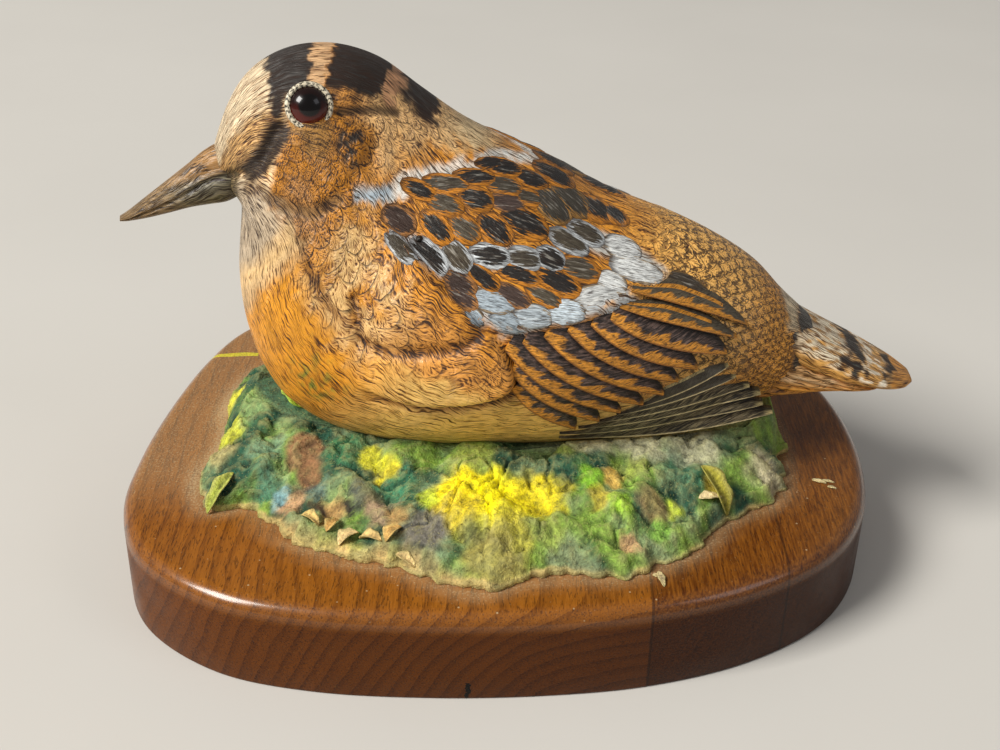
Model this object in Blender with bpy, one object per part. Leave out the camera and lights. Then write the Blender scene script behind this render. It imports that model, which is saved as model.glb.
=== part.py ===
"""A carved and painted woodcock that sits on a mossy mound, fixed to a rounded walnut base.

Lengths in this file are millimetres until a mesh is written, which is in metres. The origin is
the middle of the base's underside, +X runs towards the tail, +Z is up, and the bird's left side
faces -Y.
"""
import bpy
import bmesh
import math
import numpy as np
from mathutils import Vector, noise
from mathutils.bvhtree import BVHTree

MM = 0.001

# Driving dimensions
BASE_THICKNESS = 26.7
BASE_EDGE_ROUND = 4.5
BASE_FOOT_CHAMFER = 0.8
PIECE_GAP = 0.3
NEST_GAP = 0.4

EYE_RADIUS = 6.2
EYE_SINK = 3.2
EYE_RING_RADIUS = 6.3
EYE_RING_THICKNESS = 1.0
HEAD_TURN_DEGREES = 12.0
BODY_GRID = (54, 38)  # rings along the body, and points round each

FLANK_LIFT = 2.6
COVERT_LIFT = 1.8
CHEEK_LIFT = 1.2
LORE_DEPTH = 2.0
BROW_DEPTH = 0.8
FEATHER_LIFT = 1.7
FEATHER_ROOT_LIFT = 0.5
SECONDARY_WIDTH = 6.0
PRIMARY_WIDTH = 5.0
PRIMARY_THICKNESS = 1.6
PRIMARY_LIFT = 1.2
MOUND_RISE = 15.0
MOUND_LIP = 2.4
MOUND_SEAT = (2.0, -2.0, 76.0, 28.0)  # middle and half axes of the oval that the bird covers

# Corners of the base's outline, which a smooth closed curve joins
BASE_OUTLINE = [
    (-106.5, -15), (-105.5, -38.8), (-96, -61.5), (-74.7, -78), (-48.7, -84.8), (-18, -86.3),
    (12, -84.6), (39.6, -80), (66, -70.3), (88, -55), (101, -35), (106.3, -10), (105.4, 18),
    (98.5, 42), (84.5, 61), (63, 75), (36, 83), (6, 86.3), (-26, 86.3), (-54, 83.2),
    (-76, 76), (-90, 63), (-98.5, 41), (-104, 12)]

# Corners of the mossy mound's outline on the base
MOUND_OUTLINE = [
    (-86, -29), (-81, -43), (-71, -42), (-65, -48), (-54, -58), (-42, -64), (-28, -67),
    (-19, -72), (-6, -77), (5, -72), (17, -69.5), (30, -69), (40, -65), (53, -55.5),
    (62, -43), (78, -31), (81.5, -13), (82, 6), (78, 24), (66, 42), (46, 55), (18, 63),
    (-14, 65), (-42, 60), (-64, 49), (-79, 32), (-85, 12), (-82, -8)]

# Rings along the bird: top point (x, z), bottom point (x, z), and half widths at the ring's
# upper, middle and lower part
BODY_RINGS = np.array([
    (-79.3, 117.0, -74.0, 107.0, 3.5, 5.0, 3.8),
    (-77.9, 121.8, -73.2, 105.6, 6, 8, 6),
    (-74.3, 130.3, -72.6, 103.4, 9, 11.5, 8.5),
    (-69.3, 137.6, -72.8, 100.5, 11.5, 14.5, 11),
    (-62.5, 142.6, -73.2, 97.0, 13.5, 17, 14),
    (-54.0, 145.3, -73.6, 92.0, 14.5, 19, 17.5),
    (-44.0, 145.0, -73.8, 85.5, 15, 21, 22),
    (-34.0, 141.2, -73.4, 77.0, 15, 24.5, 27),
    (-23.5, 133.0, -71.9, 68.0, 17, 29.5, 31),
    (-12.5, 125.0, -69.0, 58.0, 21, 34.5, 33),
    (-1.0, 118.7, -63.0, 47.0, 26, 38.5, 33),
    (11.0, 112.8, -50.5, 37.5, 30, 41, 32),
    (22.5, 105.9, -33.0, 33.0, 32, 42, 31),
    (35.5, 99.9, -12.0, 33.0, 32, 41, 30),
    (48.5, 95.2, 12.0, 33.5, 29, 37, 28),
    (60.8, 89.4, 35.0, 35.0, 25, 31, 24),
    (71.0, 83.0, 55.0, 39.5, 20, 25, 19),
    (79.0, 75.0, 70.0, 45.0, 14, 18, 14),
    (87.0, 68.0, 82.0, 51.0, 9, 12, 9)])

# Sections of the bill: x, top, bottom, half width
BILL_RINGS = np.array([
    (-71, 120.0, 107.5, 5.5), (-76, 121.0, 104.9, 6.6), (-81, 118.9, 104.2, 5.8),
    (-86, 115.1, 103.6, 4.9), (-92, 110.7, 102.3, 4.0), (-98, 106.3, 101.2, 3.2),
    (-102.4, 103.0, 100.8, 2.5), (-104.6, 101.7, 100.8, 1.6)])
BILL_MOUTH_DEPTH = 0.16  # share of the half width

# Sections of the tail's upper and lower layer: x, top, bottom, half width
TAIL_TOP_RINGS = np.array([
    (62, 84, 70, 13), (72, 78, 64, 14), (82, 70.5, 57.5, 14.8), (92, 64.5, 53.5, 15),
    (101, 59.5, 51.5, 14.6), (108, 55.5, 50.3, 13), (114, 52.4, 49.6, 9.5), (118, 50.6, 49.2, 4)])
TAIL_UNDER_RINGS = np.array([
    (62, 78, 46, 17), (72, 72, 45, 16), (82, 64, 46.8, 14.8), (92, 58.5, 48.6, 13.8),
    (100, 54.5, 49.0, 12.4), (106, 52.0, 49.0, 9.6), (110, 50.8, 49.2, 4.5)])

# Lines of the carving, as places (x, distance from the middle plane, z) on the straight bird
EYE_PLACE = (-54.4, 15.9, 135.2)
LORE_LINE = [(-60, 17.2, 130.5), (-62.5, 17, 129), (-65, 17.1, 124.8), (-68, 16.3, 120.3),
             (-72, 13.5, 116.6), (-77, 7, 113.6)]
BROW_LINE = [(-46.5, 16, 133.2), (-41.5, 15, 133), (-35.8, 13.8, 132.2), (-30.5, 12.3, 131)]
CHEEK_EDGE = [(-72, 13.5, 113.5), (-68.2, 16.6, 113.8), (-61, 22, 110.2), (-55, 23.9, 109.4),
              (-49, 23.5, 112.6), (-44.8, 21.8, 116.7), (-41.5, 20.2, 120.5), (-38, 18.5, 124)]
CHEEK_CENTRE = (-53.0, 20.5, 121.5)

# The same from the side, as (x, z): the flank pad's rim and the wing coverts' rim
FLANK_RIM = [(-40, 109), (-30, 103.5), (-22, 98.5), (-14.4, 92.9), (-6.8, 86.1), (-1.2, 80),
             (2.6, 73), (2.0, 66.5), (-6.6, 62.6), (-20, 60.8), (-33, 62.5), (-44, 66)]
COVERT_RIM = [(24, 107), (34, 100), (45, 95), (42, 91), (31.2, 87.9), (21.2, 85.2),
              (13.5, 83.6), (-0.6, 82.8), (-8, 85.3), (-20, 92)]

# Lower edges of the long wing feathers seen from the side: root (x, z), tip (x, z), sag
SECONDARIES = [
    (29, 93.0, 57, 83.4, 1.2), (29, 88.6, 63, 76.8, 1.6), (26.5, 85.0, 58.8, 71.8, 1.8),
    (21.5, 84.2, 50.8, 68.8, 2.0), (15.5, 83.2, 45.8, 65.6, 2.2), (9.5, 82.0, 42.2, 61.8, 2.4),
    (4.0, 80.4, 36.8, 59.2, 2.6), (-0.5, 78.6, 30.8, 57.2, 2.6), (0.8, 72.8, 25.2, 54.6, 2.0),
    (1.5, 67.0, 19.0, 52.0, 1.6)]
PRIMARIES = [
    (36, 58.0, 60.0, 67.4, 1.4), (30, 55.8, 62.6, 63.2, 1.4), (25, 53.4, 67.0, 59.0, 1.2),
    (20, 51.2, 70.4, 56.2, 1.6), (15, 48.8, 71.6, 52.6, 2.2), (15, 46.4, 74.8, 49.4, 3.0)]


def smooth(low, high, value):
    """Ease from 0 at low to 1 at high."""
    t = np.clip((value - low) / (high - low), 0.0, 1.0)
    return t * t * (3.0 - 2.0 * t)


def curve_rows(rows, u):
    """Read rows of numbers as a smooth curve, at places u counted in rows."""
    last = len(rows) - 1
    u = np.clip(u, 0.0, last - 1e-9)
    i = np.floor(u).astype(int)
    f = (u - i)[:, None]
    padded = np.vstack([2 * rows[0] - rows[1], rows, 2 * rows[-1] - rows[-2]])
    a, b, c, d = padded[i], padded[i + 1], padded[i + 2], padded[i + 3]
    return 0.5 * (2 * b + (c - a) * f + (2 * a - 5 * b + 4 * c - d) * f ** 2
                  + (3 * b - a - 3 * c + d) * f ** 3)


def closed_curve(corners, count):
    """Evenly numbered points of a smooth closed curve through the corners."""
    corners = np.array(corners, float)
    n = len(corners)
    u = np.arange(count) * n / count
    i = np.floor(u).astype(int)
    f = (u - i)[:, None]
    a, b, c, d = (corners[(i + k) % n] for k in (-1, 0, 1, 2))
    return 0.5 * (2 * b + (c - a) * f + (2 * a - 5 * b + 4 * c - d) * f ** 2
                  + (3 * b - a - 3 * c + d) * f ** 3)


def distance_to_line(points, line):
    """Distance from each point to an open line of straight pieces."""
    line = np.array(line, float)
    best = np.full(len(points), 1e9)
    for start, end in zip(line[:-1], line[1:]):
        along = end - start
        t = np.clip((points - start) @ along / (along @ along), 0.0, 1.0)
        gap = np.linalg.norm(points - start - t[:, None] * along, axis=1)
        best = np.minimum(best, gap)
    return best


def inside_depth(points, rim):
    """Distance to a rim seen from the side, positive on the rim's right hand."""
    rim = np.array(rim, float)
    best = np.full(len(points), 1e9)
    sign = np.ones(len(points))
    for start, end in zip(rim[:-1], rim[1:]):
        along = end - start
        across = np.array([along[1], -along[0]]) / np.linalg.norm(along)
        t = np.clip((points - start) @ along / (along @ along), 0.0, 1.0)
        gap = np.linalg.norm(points - start - t[:, None] * along, axis=1)
        side = np.where((points - start) @ across >= 0, 1.0, -1.0)
        nearer = gap < best - 1e-6
        best = np.where(nearer, gap, best)
        sign = np.where(nearer, side, sign)
    return best * sign


def new_object(name, points, faces, material=None):
    """Write points in millimetres and faces as an object whose faces point out."""
    mesh = bpy.data.meshes.new(name)
    mesh.from_pydata([tuple(p) for p in np.asarray(points) * MM], [], faces)
    bm = bmesh.new()
    bm.from_mesh(mesh)
    bmesh.ops.recalc_face_normals(bm, faces=bm.faces)
    bm.to_mesh(mesh)
    bm.free()
    if material:
        mesh.materials.append(material)
    obj = bpy.data.objects.new(name, mesh)
    bpy.context.scene.collection.objects.link(obj)
    return obj


def tube_faces(rings, sides):
    """Faces of a closed tube of rings, with a flat cap at each end."""
    faces = []
    for i in range(rings - 1):
        for j in range(sides):
            k = (j + 1) % sides
            faces.append((i * sides + j, i * sides + k, (i + 1) * sides + k, (i + 1) * sides + j))
    faces.append(tuple(range(sides)))
    faces.append(tuple((rings - 1) * sides + j for j in range(sides)))
    return faces


def combine(target, tool, operation, solver='EXACT'):
    """Join or cut the target with the tool, and remove the tool.

    The bird takes the manifold solver: the exact one loses the thin wedges where feathers meet.
    """
    modifier = target.modifiers.new(operation.title(), 'BOOLEAN')
    modifier.operation = operation
    modifier.solver = solver
    modifier.object = tool
    shape = target.evaluated_get(bpy.context.evaluated_depsgraph_get())
    mesh = bpy.data.meshes.new_from_object(shape)
    target.modifiers.clear()
    old = target.data
    target.data = mesh
    bpy.data.meshes.remove(old)
    spent = tool.data
    bpy.data.objects.remove(tool)
    bpy.data.meshes.remove(spent)


def principled(name, colour, roughness, coat=0.0):
    """A material of one plain colour."""
    material = bpy.data.materials.new(name)
    material.use_nodes = True
    shader = material.node_tree.nodes['Principled BSDF']
    shader.inputs['Base Color'].default_value = (*colour, 1.0)
    shader.inputs['Roughness'].default_value = roughness
    shader.inputs['Coat Weight'].default_value = coat
    return material


# The bird's body
def body_surface(rings, sides):
    """The smooth body before carving, as rings of points round it."""
    rows = curve_rows(BODY_RINGS, np.linspace(0, len(BODY_RINGS) - 1, rings))
    angle = np.linspace(0, 2 * math.pi, sides, endpoint=False)
    upper, middle, lower = rows[:, 4:5], rows[:, 5:6], rows[:, 6:7]
    pear = (upper - lower) / 2
    mean = (upper + lower) / 2 / math.sqrt(0.5)
    down = (1 - np.cos(angle)) / 2
    points = np.zeros((rings, sides, 3))
    points[:, :, 0] = rows[:, 0:1] * (1 - down) + rows[:, 2:3] * down
    points[:, :, 2] = rows[:, 1:2] * (1 - down) + rows[:, 3:4] * down
    points[:, :, 1] = -((mean + middle) / 2 * np.sin(angle) + pear * np.sin(2 * angle)
                        + (mean - middle) / 2 * np.sin(3 * angle))
    return points


def grid_normals(points):
    """Outward directions of a grid of rings."""
    along = np.gradient(points, axis=0)
    around = np.roll(points, -1, 1) - np.roll(points, 1, 1)
    normal = np.cross(along, around)
    normal /= np.linalg.norm(normal, axis=2, keepdims=True) + 1e-9
    outward = points - points.mean(axis=1, keepdims=True)
    return normal * np.sign((normal * outward).sum(axis=2, keepdims=True))


def body_relief(points):
    """Height of the carving over the smooth body at each point."""
    flat = points.reshape(-1, 3)
    side = flat[:, [0, 2]]
    mirrored = np.column_stack([flat[:, 0], np.abs(flat[:, 1]), flat[:, 2]])

    depth = inside_depth(side, FLANK_RIM)
    flank = FLANK_LIFT * smooth(-0.3, 2.2, depth) * (1 - smooth(6, 34, depth))
    flank *= smooth(-44, -24, flat[:, 0])

    depth = inside_depth(side, COVERT_RIM)
    coverts = COVERT_LIFT * smooth(-0.6, 1.2, depth)
    coverts *= smooth(-30, -12, flat[:, 0]) * (1 - smooth(90, 100, flat[:, 2]))

    from_cheek = np.linalg.norm(mirrored - CHEEK_CENTRE, axis=1)
    edge = distance_to_line(mirrored, CHEEK_EDGE)
    reach = np.linalg.norm(np.array(CHEEK_EDGE[3]) - CHEEK_CENTRE)
    cheek = CHEEK_LIFT * (1 - smooth(0.75 * reach, 1.15 * reach, from_cheek))
    cheek -= 0.9 * np.exp(-(edge / 2.0) ** 2) * smooth(-78, -70, flat[:, 0])

    lore = -LORE_DEPTH * np.exp(-(distance_to_line(mirrored, LORE_LINE) / 2.4) ** 2)
    brow = -BROW_DEPTH * np.exp(-(distance_to_line(mirrored, BROW_LINE) / 1.6) ** 2)
    on_side = smooth(2.0, 8.0, mirrored[:, 1])
    height = np.maximum(flank, coverts) * on_side + (cheek + lore + brow) * on_side
    return height.reshape(points.shape[:2])


def turn_head(points, whole=False):
    """Turn the head towards the bird's left, easing off down the neck."""
    flat = np.asarray(points, float).reshape(-1, 3).copy()
    weight = smooth(86, 106, flat[:, 2]) * (1 - smooth(-42, -15, flat[:, 0]))
    if whole:
        weight = np.ones(len(flat))
    angle = math.radians(HEAD_TURN_DEGREES) * weight
    pivot_x = -30.0
    dx, dy = flat[:, 0] - pivot_x, flat[:, 1].copy()
    flat[:, 0] = pivot_x + dx * np.cos(angle) - dy * np.sin(angle)
    flat[:, 1] = dx * np.sin(angle) + dy * np.cos(angle)
    return flat.reshape(np.shape(points))


def body_object(name, rings, sides, grow=0.0, carved=True):
    points = body_surface(rings, sides)
    height = grow + (body_relief(points) if carved else 0.0)
    points = points + grid_normals(points) * np.reshape(height, (-1, sides, 1) if carved else (1,))
    points = turn_head(points)
    return new_object(name, points.reshape(-1, 3), tube_faces(rings, sides))


# Bill and tail
def lofted(name, rows, rings, sides, squareness, mouth=0.0, turned=False):
    """A tube through rows of x, top, bottom and half width."""
    rows = curve_rows(rows, np.linspace(0, len(rows) - 1, rings))
    angle = np.linspace(0, 2 * math.pi, sides, endpoint=False) + math.pi / sides
    sine, cosine = np.sin(angle), np.cos(angle)
    middle, half = (rows[:, 1:2] + rows[:, 2:3]) / 2, (rows[:, 1:2] - rows[:, 2:3]) / 2
    notch = 1 - mouth * np.exp(-((cosine + 0.1) / 0.22) ** 2)
    points = np.zeros((rings, sides, 3))
    points[:, :, 0] = rows[:, 0:1]
    points[:, :, 1] = -rows[:, 3:4] * np.sign(sine) * np.abs(sine) ** squareness * notch
    points[:, :, 2] = middle + half * cosine
    if turned:
        points = turn_head(points, whole=True)
    return new_object(name, points.reshape(-1, 3), tube_faces(rings, sides))


# Wing feathers
def feather_line(root, tip, sag, width, s):
    """Centre and half width of a feather whose lower edge sags between root and tip."""
    root, tip = np.array(root, float), np.array(tip, float)
    along = (tip - root) / np.linalg.norm(tip - root)
    up = np.array([-along[1], along[0]])
    lower = root + (tip - root) * s[:, None] - up * (4 * sag * s * (1 - s))[:, None]
    rounding = 0.80
    taper = np.sqrt(1 - (np.clip((s - rounding) / (1 - rounding), 0, 1) * 0.985) ** 2)
    return lower + up * width / 2, width / 2 * taper, up


def strip_object(name, top, bottom):
    """A closed strip from its top and bottom grids, which have the same size."""
    rows, columns = top.shape[:2]
    ring = np.concatenate([top, bottom[:, ::-1]], axis=1)
    return new_object(name, ring.reshape(-1, 3), tube_faces(rows, 2 * columns))


def body_hit(tree, x, z, side):
    """How far from the middle plane the smooth body reaches at (x, z), or nothing beside it."""
    place = tree.ray_cast(Vector((x, 100.0 * side, z)), Vector((0, -side, 0)))[0]
    return None if place is None else place.y * side


def wing_feather(name, tree, side, spec, width, stations):
    """A long feather laid over the body, with its lower edge proud of the one below."""
    root_x, root_z, tip_x, tip_z, sag = spec
    s = np.linspace(0, 1, stations)
    centre, half, up = feather_line((root_x, root_z), (tip_x, tip_z), sag, width, s)
    across = np.linspace(-1, 1, 3)
    edge_lift = FEATHER_LIFT * (1 - 0.5 * float(smooth(84, 94, root_z)))
    lift = edge_lift + (FEATHER_ROOT_LIFT - edge_lift) * (across + 1) / 2 + 0.35 * (1 - across ** 2)
    emerging = smooth(-0.25, 0.3, s)
    top = np.zeros((stations, 3, 3))
    bottom = np.zeros((stations, 3, 3))
    for i in range(stations):
        for j in range(3):
            x, z = centre[i] + up * half[i] * across[j]
            out = body_hit(tree, x, z, side)
            top[i, j] = (x, side * (out + lift[j] * emerging[i]), z)
            bottom[i, j] = (x, side * (out - 2.5), z)
    return strip_object(name, top, bottom)


def primary_feather(name, tree, side, spec, index, stations):
    """A flight feather of the fan whose tips stand free behind the body."""
    root_x, root_z, tip_x, tip_z, sag = spec
    s = np.linspace(0, 1, stations)
    centre, half, up = feather_line((root_x, root_z), (tip_x, tip_z), sag, PRIMARY_WIDTH, s)
    across = np.linspace(-1, 1, 3)
    top = np.zeros((stations, 3, 3))
    bottom = np.zeros((stations, 3, 3))
    for i in range(stations):
        for j in range(3):
            x, z = centre[i] + up * half[i] * across[j]
            out = body_hit(tree, x, z, side)
            fan = 34.6 - 0.16 * x + 0.35 * (5 - index)
            reach = max(fan, (out or 0.0) + PRIMARY_LIFT) - 0.55 * (across[j] + 1)
            top[i, j] = (x, side * reach, z)
            bottom[i, j] = (x, side * (reach - PRIMARY_THICKNESS), z)
    return strip_object(name, top, bottom)


# Eyes
def eye_frame(tree, side):
    """Centre of the eye's ball and the direction it looks in."""
    x, out, z = EYE_PLACE
    hint = turn_head(np.array([[x, side * out, z]]))[0]
    place, normal, _, _ = tree.find_nearest(Vector(hint))
    normal = Vector(normal)
    if normal.y * side < 0:
        normal.negate()
    return place - normal * EYE_SINK, normal


def ball(name, centre, radius, material=None):
    mesh = bpy.data.meshes.new(name)
    bm = bmesh.new()
    bmesh.ops.create_uvsphere(bm, u_segments=16, v_segments=10, radius=radius * MM)
    bm.to_mesh(mesh)
    bm.free()
    obj = bpy.data.objects.new(name, mesh)
    obj.location = centre * MM
    bpy.context.scene.collection.objects.link(obj)
    if material:
        mesh.materials.append(material)
        mesh.shade_smooth()
    return obj


def eye_ring(name, centre, direction):
    """The raised ring round the eye."""
    around, section = 18, 6
    turn = direction.to_track_quat('Z', 'Y')
    middle = centre + direction * (EYE_SINK - 0.1)
    points, faces = [], []
    for i in range(around):
        a = 2 * math.pi * i / around
        for j in range(section):
            b = 2 * math.pi * j / section
            r = EYE_RING_RADIUS + EYE_RING_THICKNESS * math.cos(b)
            local = Vector((r * math.cos(a), r * math.sin(a), EYE_RING_THICKNESS * math.sin(b)))
            points.append(middle + turn @ local)
            k, m = (i + 1) % around, (j + 1) % section
            faces.append((i * section + j, k * section + j, k * section + m, i * section + m))
    return new_object(name, points, faces)


# The mossy mound
def mound_object(name, material, rays=60, circles=8):
    """Low painted ground that climbs from a thin broken lip to the bird's belly."""
    foot = BASE_THICKNESS + PIECE_GAP
    outline = closed_curve(MOUND_OUTLINE, rays)
    middle = np.array(MOUND_SEAT[:2], float)
    bearing = np.arctan2((outline[:, 1] - middle[1]) / MOUND_SEAT[3], (outline[:, 0] - middle[0]) / MOUND_SEAT[2])
    seat = middle + np.column_stack([MOUND_SEAT[2] * np.cos(bearing), MOUND_SEAT[3] * np.sin(bearing)])
    points = [(*middle, foot)] + [(*p, foot) for p in outline]
    for c in range(circles + 1):
        t = c / circles
        for edge, inner in zip(outline, seat):
            x, y = edge + (inner - edge) * (t if c == 0 else 0.02 + 0.98 * t)
            lumps = 2.8 * noise.noise(Vector((x, y, 0)) / 13.0) + 1.3 * noise.noise(Vector((x, y, 40)) / 6.0)
            rise = MOUND_LIP + (MOUND_RISE - MOUND_LIP) * smooth(-0.25, 1.0, t) + lumps * (0.4 + 0.6 * smooth(0, 0.3, t))
            if c == 0:
                rise = MOUND_LIP + 0.4 * lumps
            points.append((x, y, foot + min(max(rise, 1.4), MOUND_RISE + 1.0)))
    points.append((*middle, foot + MOUND_RISE))
    top = len(points) - 1
    faces = []
    for j in range(rays):
        k = (j + 1) % rays
        faces.append((0, 1 + k, 1 + j))
        for c in range(circles + 1):
            a, b = 1 + rays * c, 1 + rays * (c + 1)
            faces.append((a + j, a + k, b + k, b + j))
        faces.append((top - rays + j, top - rays + k, top))
    return new_object(name, points, faces, material)


# The walnut base
def base_object(name, material, count=72, arc_steps=3):
    """A thick board with a rounded outline, a rounded top edge and a flat underside."""
    outline = closed_curve(BASE_OUTLINE, count)
    along = np.roll(outline, -1, 0) - np.roll(outline, 1, 0)
    inward = np.column_stack([-along[:, 1], along[:, 0]])
    inward /= np.linalg.norm(inward, axis=1, keepdims=True)
    levels = [(BASE_FOOT_CHAMFER, 0.0), (0.0, BASE_FOOT_CHAMFER)]
    for k in range(arc_steps + 1):
        a = math.pi / 2 * k / arc_steps
        inset = BASE_EDGE_ROUND * (1 - math.cos(a))
        levels.append((inset, BASE_THICKNESS - BASE_EDGE_ROUND * (1 - math.sin(a))))
    rings = [np.column_stack([outline + inward * inset, np.full(count, z)]) for inset, z in levels]
    return new_object(name, np.vstack(rings), tube_faces(len(rings), count), material)


def build_bird(paint, glass):
    """Carve the bird as one solid, and set its two glass eyes."""
    smooth_body = body_surface(72, 60)
    tree = BVHTree.FromPolygons([tuple(p) for p in smooth_body.reshape(-1, 3)], tube_faces(72, 60))
    turned = turn_head(smooth_body).reshape(-1, 3)
    head_tree = BVHTree.FromPolygons([tuple(p) for p in turned], tube_faces(72, 60))

    bird = body_object('bird', *BODY_GRID)
    bird.data.materials.append(paint)
    bill = lofted('bill', BILL_RINGS, 8, 14, 1.0, BILL_MOUTH_DEPTH, turned=True)
    combine(bird, bill, 'UNION', 'MANIFOLD')
    combine(bird, lofted('tail_under', TAIL_UNDER_RINGS, 9, 18, 0.7), 'UNION', 'MANIFOLD')
    combine(bird, lofted('tail_top', TAIL_TOP_RINGS, 10, 18, 0.7), 'UNION', 'MANIFOLD')
    for side in (-1, 1):
        for index, spec in reversed(list(enumerate(PRIMARIES))):
            feather = primary_feather('primary', tree, side, spec, index, 7)
            combine(bird, feather, 'UNION', 'MANIFOLD')
        for spec in reversed(SECONDARIES):
            feather = wing_feather('secondary', tree, side, spec, SECONDARY_WIDTH, 5)
            combine(bird, feather, 'UNION', 'MANIFOLD')
        centre, direction = eye_frame(head_tree, side)
        combine(bird, eye_ring('ring', centre, direction), 'UNION', 'MANIFOLD')
        combine(bird, ball('socket', centre, EYE_RADIUS + PIECE_GAP), 'DIFFERENCE', 'MANIFOLD')
        ball('left_eye' if side < 0 else 'right_eye', centre, EYE_RADIUS, glass)
    return bird


def build():
    for obj in list(bpy.data.objects):
        bpy.data.objects.remove(obj)
    paint = principled('painted_wood', (0.36, 0.16, 0.04), 0.6)
    glass = principled('eye_glass', (0.05, 0.01, 0.005), 0.05, coat=1.0)
    moss = principled('painted_moss', (0.09, 0.14, 0.06), 0.9)
    walnut = principled('walnut', (0.12, 0.045, 0.018), 0.3, coat=0.4)

    build_bird(paint, glass)
    base_object('walnut_base', walnut)
    mound = mound_object('mossy_ground', moss)
    combine(mound, body_object('nest', *BODY_GRID, grow=NEST_GAP), 'DIFFERENCE')


build()
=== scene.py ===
# %% [markdown]
# # A carved and painted woodcock on a walnut board
#
# The real object is a shorebird decoy, carved from wood with every feather cut and burned in,
# painted by hand, fitted with glass eyes and set on a patch of painted mossy ground, which is
# stuck to a thick walnut board with a rounded outline.
#
# The script dresses a plain model of it. Lengths are written in millimetres and turned into
# metres when a mesh is made. The origin is the middle of the board's underside, +X runs towards
# the tail, +Z is up, and the bird's left side faces -Y.

# %% Load the plain model
import math
import bpy
import bmesh
import numpy as np
from mathutils import Matrix, Vector, noise
from mathutils.bvhtree import BVHTree


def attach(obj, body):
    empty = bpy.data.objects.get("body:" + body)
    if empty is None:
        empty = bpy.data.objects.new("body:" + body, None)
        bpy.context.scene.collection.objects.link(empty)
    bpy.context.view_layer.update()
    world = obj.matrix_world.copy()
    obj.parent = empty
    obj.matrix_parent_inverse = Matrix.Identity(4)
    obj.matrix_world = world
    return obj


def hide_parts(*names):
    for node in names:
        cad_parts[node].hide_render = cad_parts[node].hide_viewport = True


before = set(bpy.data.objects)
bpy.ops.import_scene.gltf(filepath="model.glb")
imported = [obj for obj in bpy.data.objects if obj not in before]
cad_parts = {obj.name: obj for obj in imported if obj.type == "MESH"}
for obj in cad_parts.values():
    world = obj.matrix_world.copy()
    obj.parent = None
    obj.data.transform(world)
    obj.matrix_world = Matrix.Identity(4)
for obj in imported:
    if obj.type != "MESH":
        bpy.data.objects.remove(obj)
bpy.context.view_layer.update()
MM = 0.001
print("plain solids:", ", ".join(sorted(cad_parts)))

# %% [markdown]
# ## Small helpers
#
# Paint colours are easiest to pick as the hex values of a screen, which are gamma coded, while a
# shader works with linear light, so one function turns them. A material is a graph of nodes, and
# one more function adds a node, sets it up and links it in a single line. The random numbers
# come from one seeded source, so that every run carves the same bird.

# %% Colours, nodes and random numbers
chance = np.random.default_rng(7)


def linear(code):
    """A screen colour such as 'B8722C' as linear red, green, blue and alpha."""
    values = [int(code[i:i + 2], 16) / 255 for i in (0, 2, 4)]
    return (*[v / 12.92 if v <= 0.04045 else ((v + 0.055) / 1.055) ** 2.4 for v in values], 1.0)


def rgb(code):
    """The three linear values of a colour, for sums."""
    return np.array(linear(code)[:3])


def feed(node, inputs):
    """Give a node its inputs by name or number: values, sockets, or nodes for their result."""
    for key, value in inputs.items():
        if isinstance(value, bpy.types.Node):
            value = value.outputs[2 if getattr(value, "data_type", "") == "RGBA" else 0]
        if isinstance(value, bpy.types.NodeSocket):
            node.id_data.links.new(value, node.inputs[key])
        else:
            node.inputs[key].default_value = value


def add(tree, kind, *values, **settings):
    """Add a node, such as 'TexNoise', 'Math ADD' or 'Mix RGBA', with its settings and inputs.

    The inputs are given in their order, or as a dictionary by name or number.
    """
    family, _, mode = kind.partition(" ")
    node = tree.nodes.new(family if "Node" in family else "ShaderNode" + family)
    if mode:
        settings["operation" if "Math" in family else "data_type"] = mode
    for name, value in settings.items():
        setattr(node, name, value)
    feed(node, values[0] if values and isinstance(values[0], dict) else dict(enumerate(values)))
    return node


def new_material(name):
    """An empty material with its shader and output, and its tree."""
    material = bpy.data.materials.new(name)
    material.use_nodes = True
    tree = material.node_tree
    shader = tree.nodes["Principled BSDF"]
    return material, tree, shader


def smooth(low, high, value):
    """Ease from 0 at low to 1 at high."""
    t = np.clip((value - low) / (high - low), 0.0, 1.0)
    return t * t * (3.0 - 2.0 * t)


def new_piece(name, points, faces, material, slot, node=None, smooth_shaded=True, sharp=None):
    """Write points in millimetres as a piece that rides on the body of the model."""
    mesh = bpy.data.meshes.new(name)
    mesh.from_pydata((np.asarray(points) * MM).tolist(), [], faces)
    bm = bmesh.new()
    bm.from_mesh(mesh)
    bmesh.ops.recalc_face_normals(bm, faces=bm.faces)
    bm.to_mesh(mesh)
    bm.free()
    if smooth_shaded:
        mesh.shade_smooth()
    if sharp is not None:
        mesh.set_sharp_from_angle(angle=math.radians(sharp))
    if material:
        mesh.materials.append(material)
    obj = bpy.data.objects.new(name, mesh)
    bpy.context.scene.collection.objects.link(obj)
    if slot:
        declare(obj, node)
    return obj


def declare(obj, node=None):
    """Hang a finished piece on the root body, hide the plain solid that it stands for, and print its
    triangles.
    """
    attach(obj, "root")
    if node:
        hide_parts(node)
    print(f"{obj.name}: {sum(len(p.vertices) - 2 for p in obj.data.polygons)} triangles")


def keep(obj, name, values):
    """Store one value, or one vector, for each point of a mesh, for its material to read."""
    values = np.asarray(values, np.float32)
    kind, field = ("FLOAT", "value") if values.ndim == 1 else ("FLOAT_VECTOR", "vector")
    obj.data.attributes.new(name, kind, "POINT").data.foreach_set(field, values.ravel())


# %% [markdown]
# ## Camera
#
# The photograph looks down on the decoy by 30 degrees from a little over a third of a metre
# away, with a roll of about one degree. The camera's axes are written out from those angles.

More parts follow.
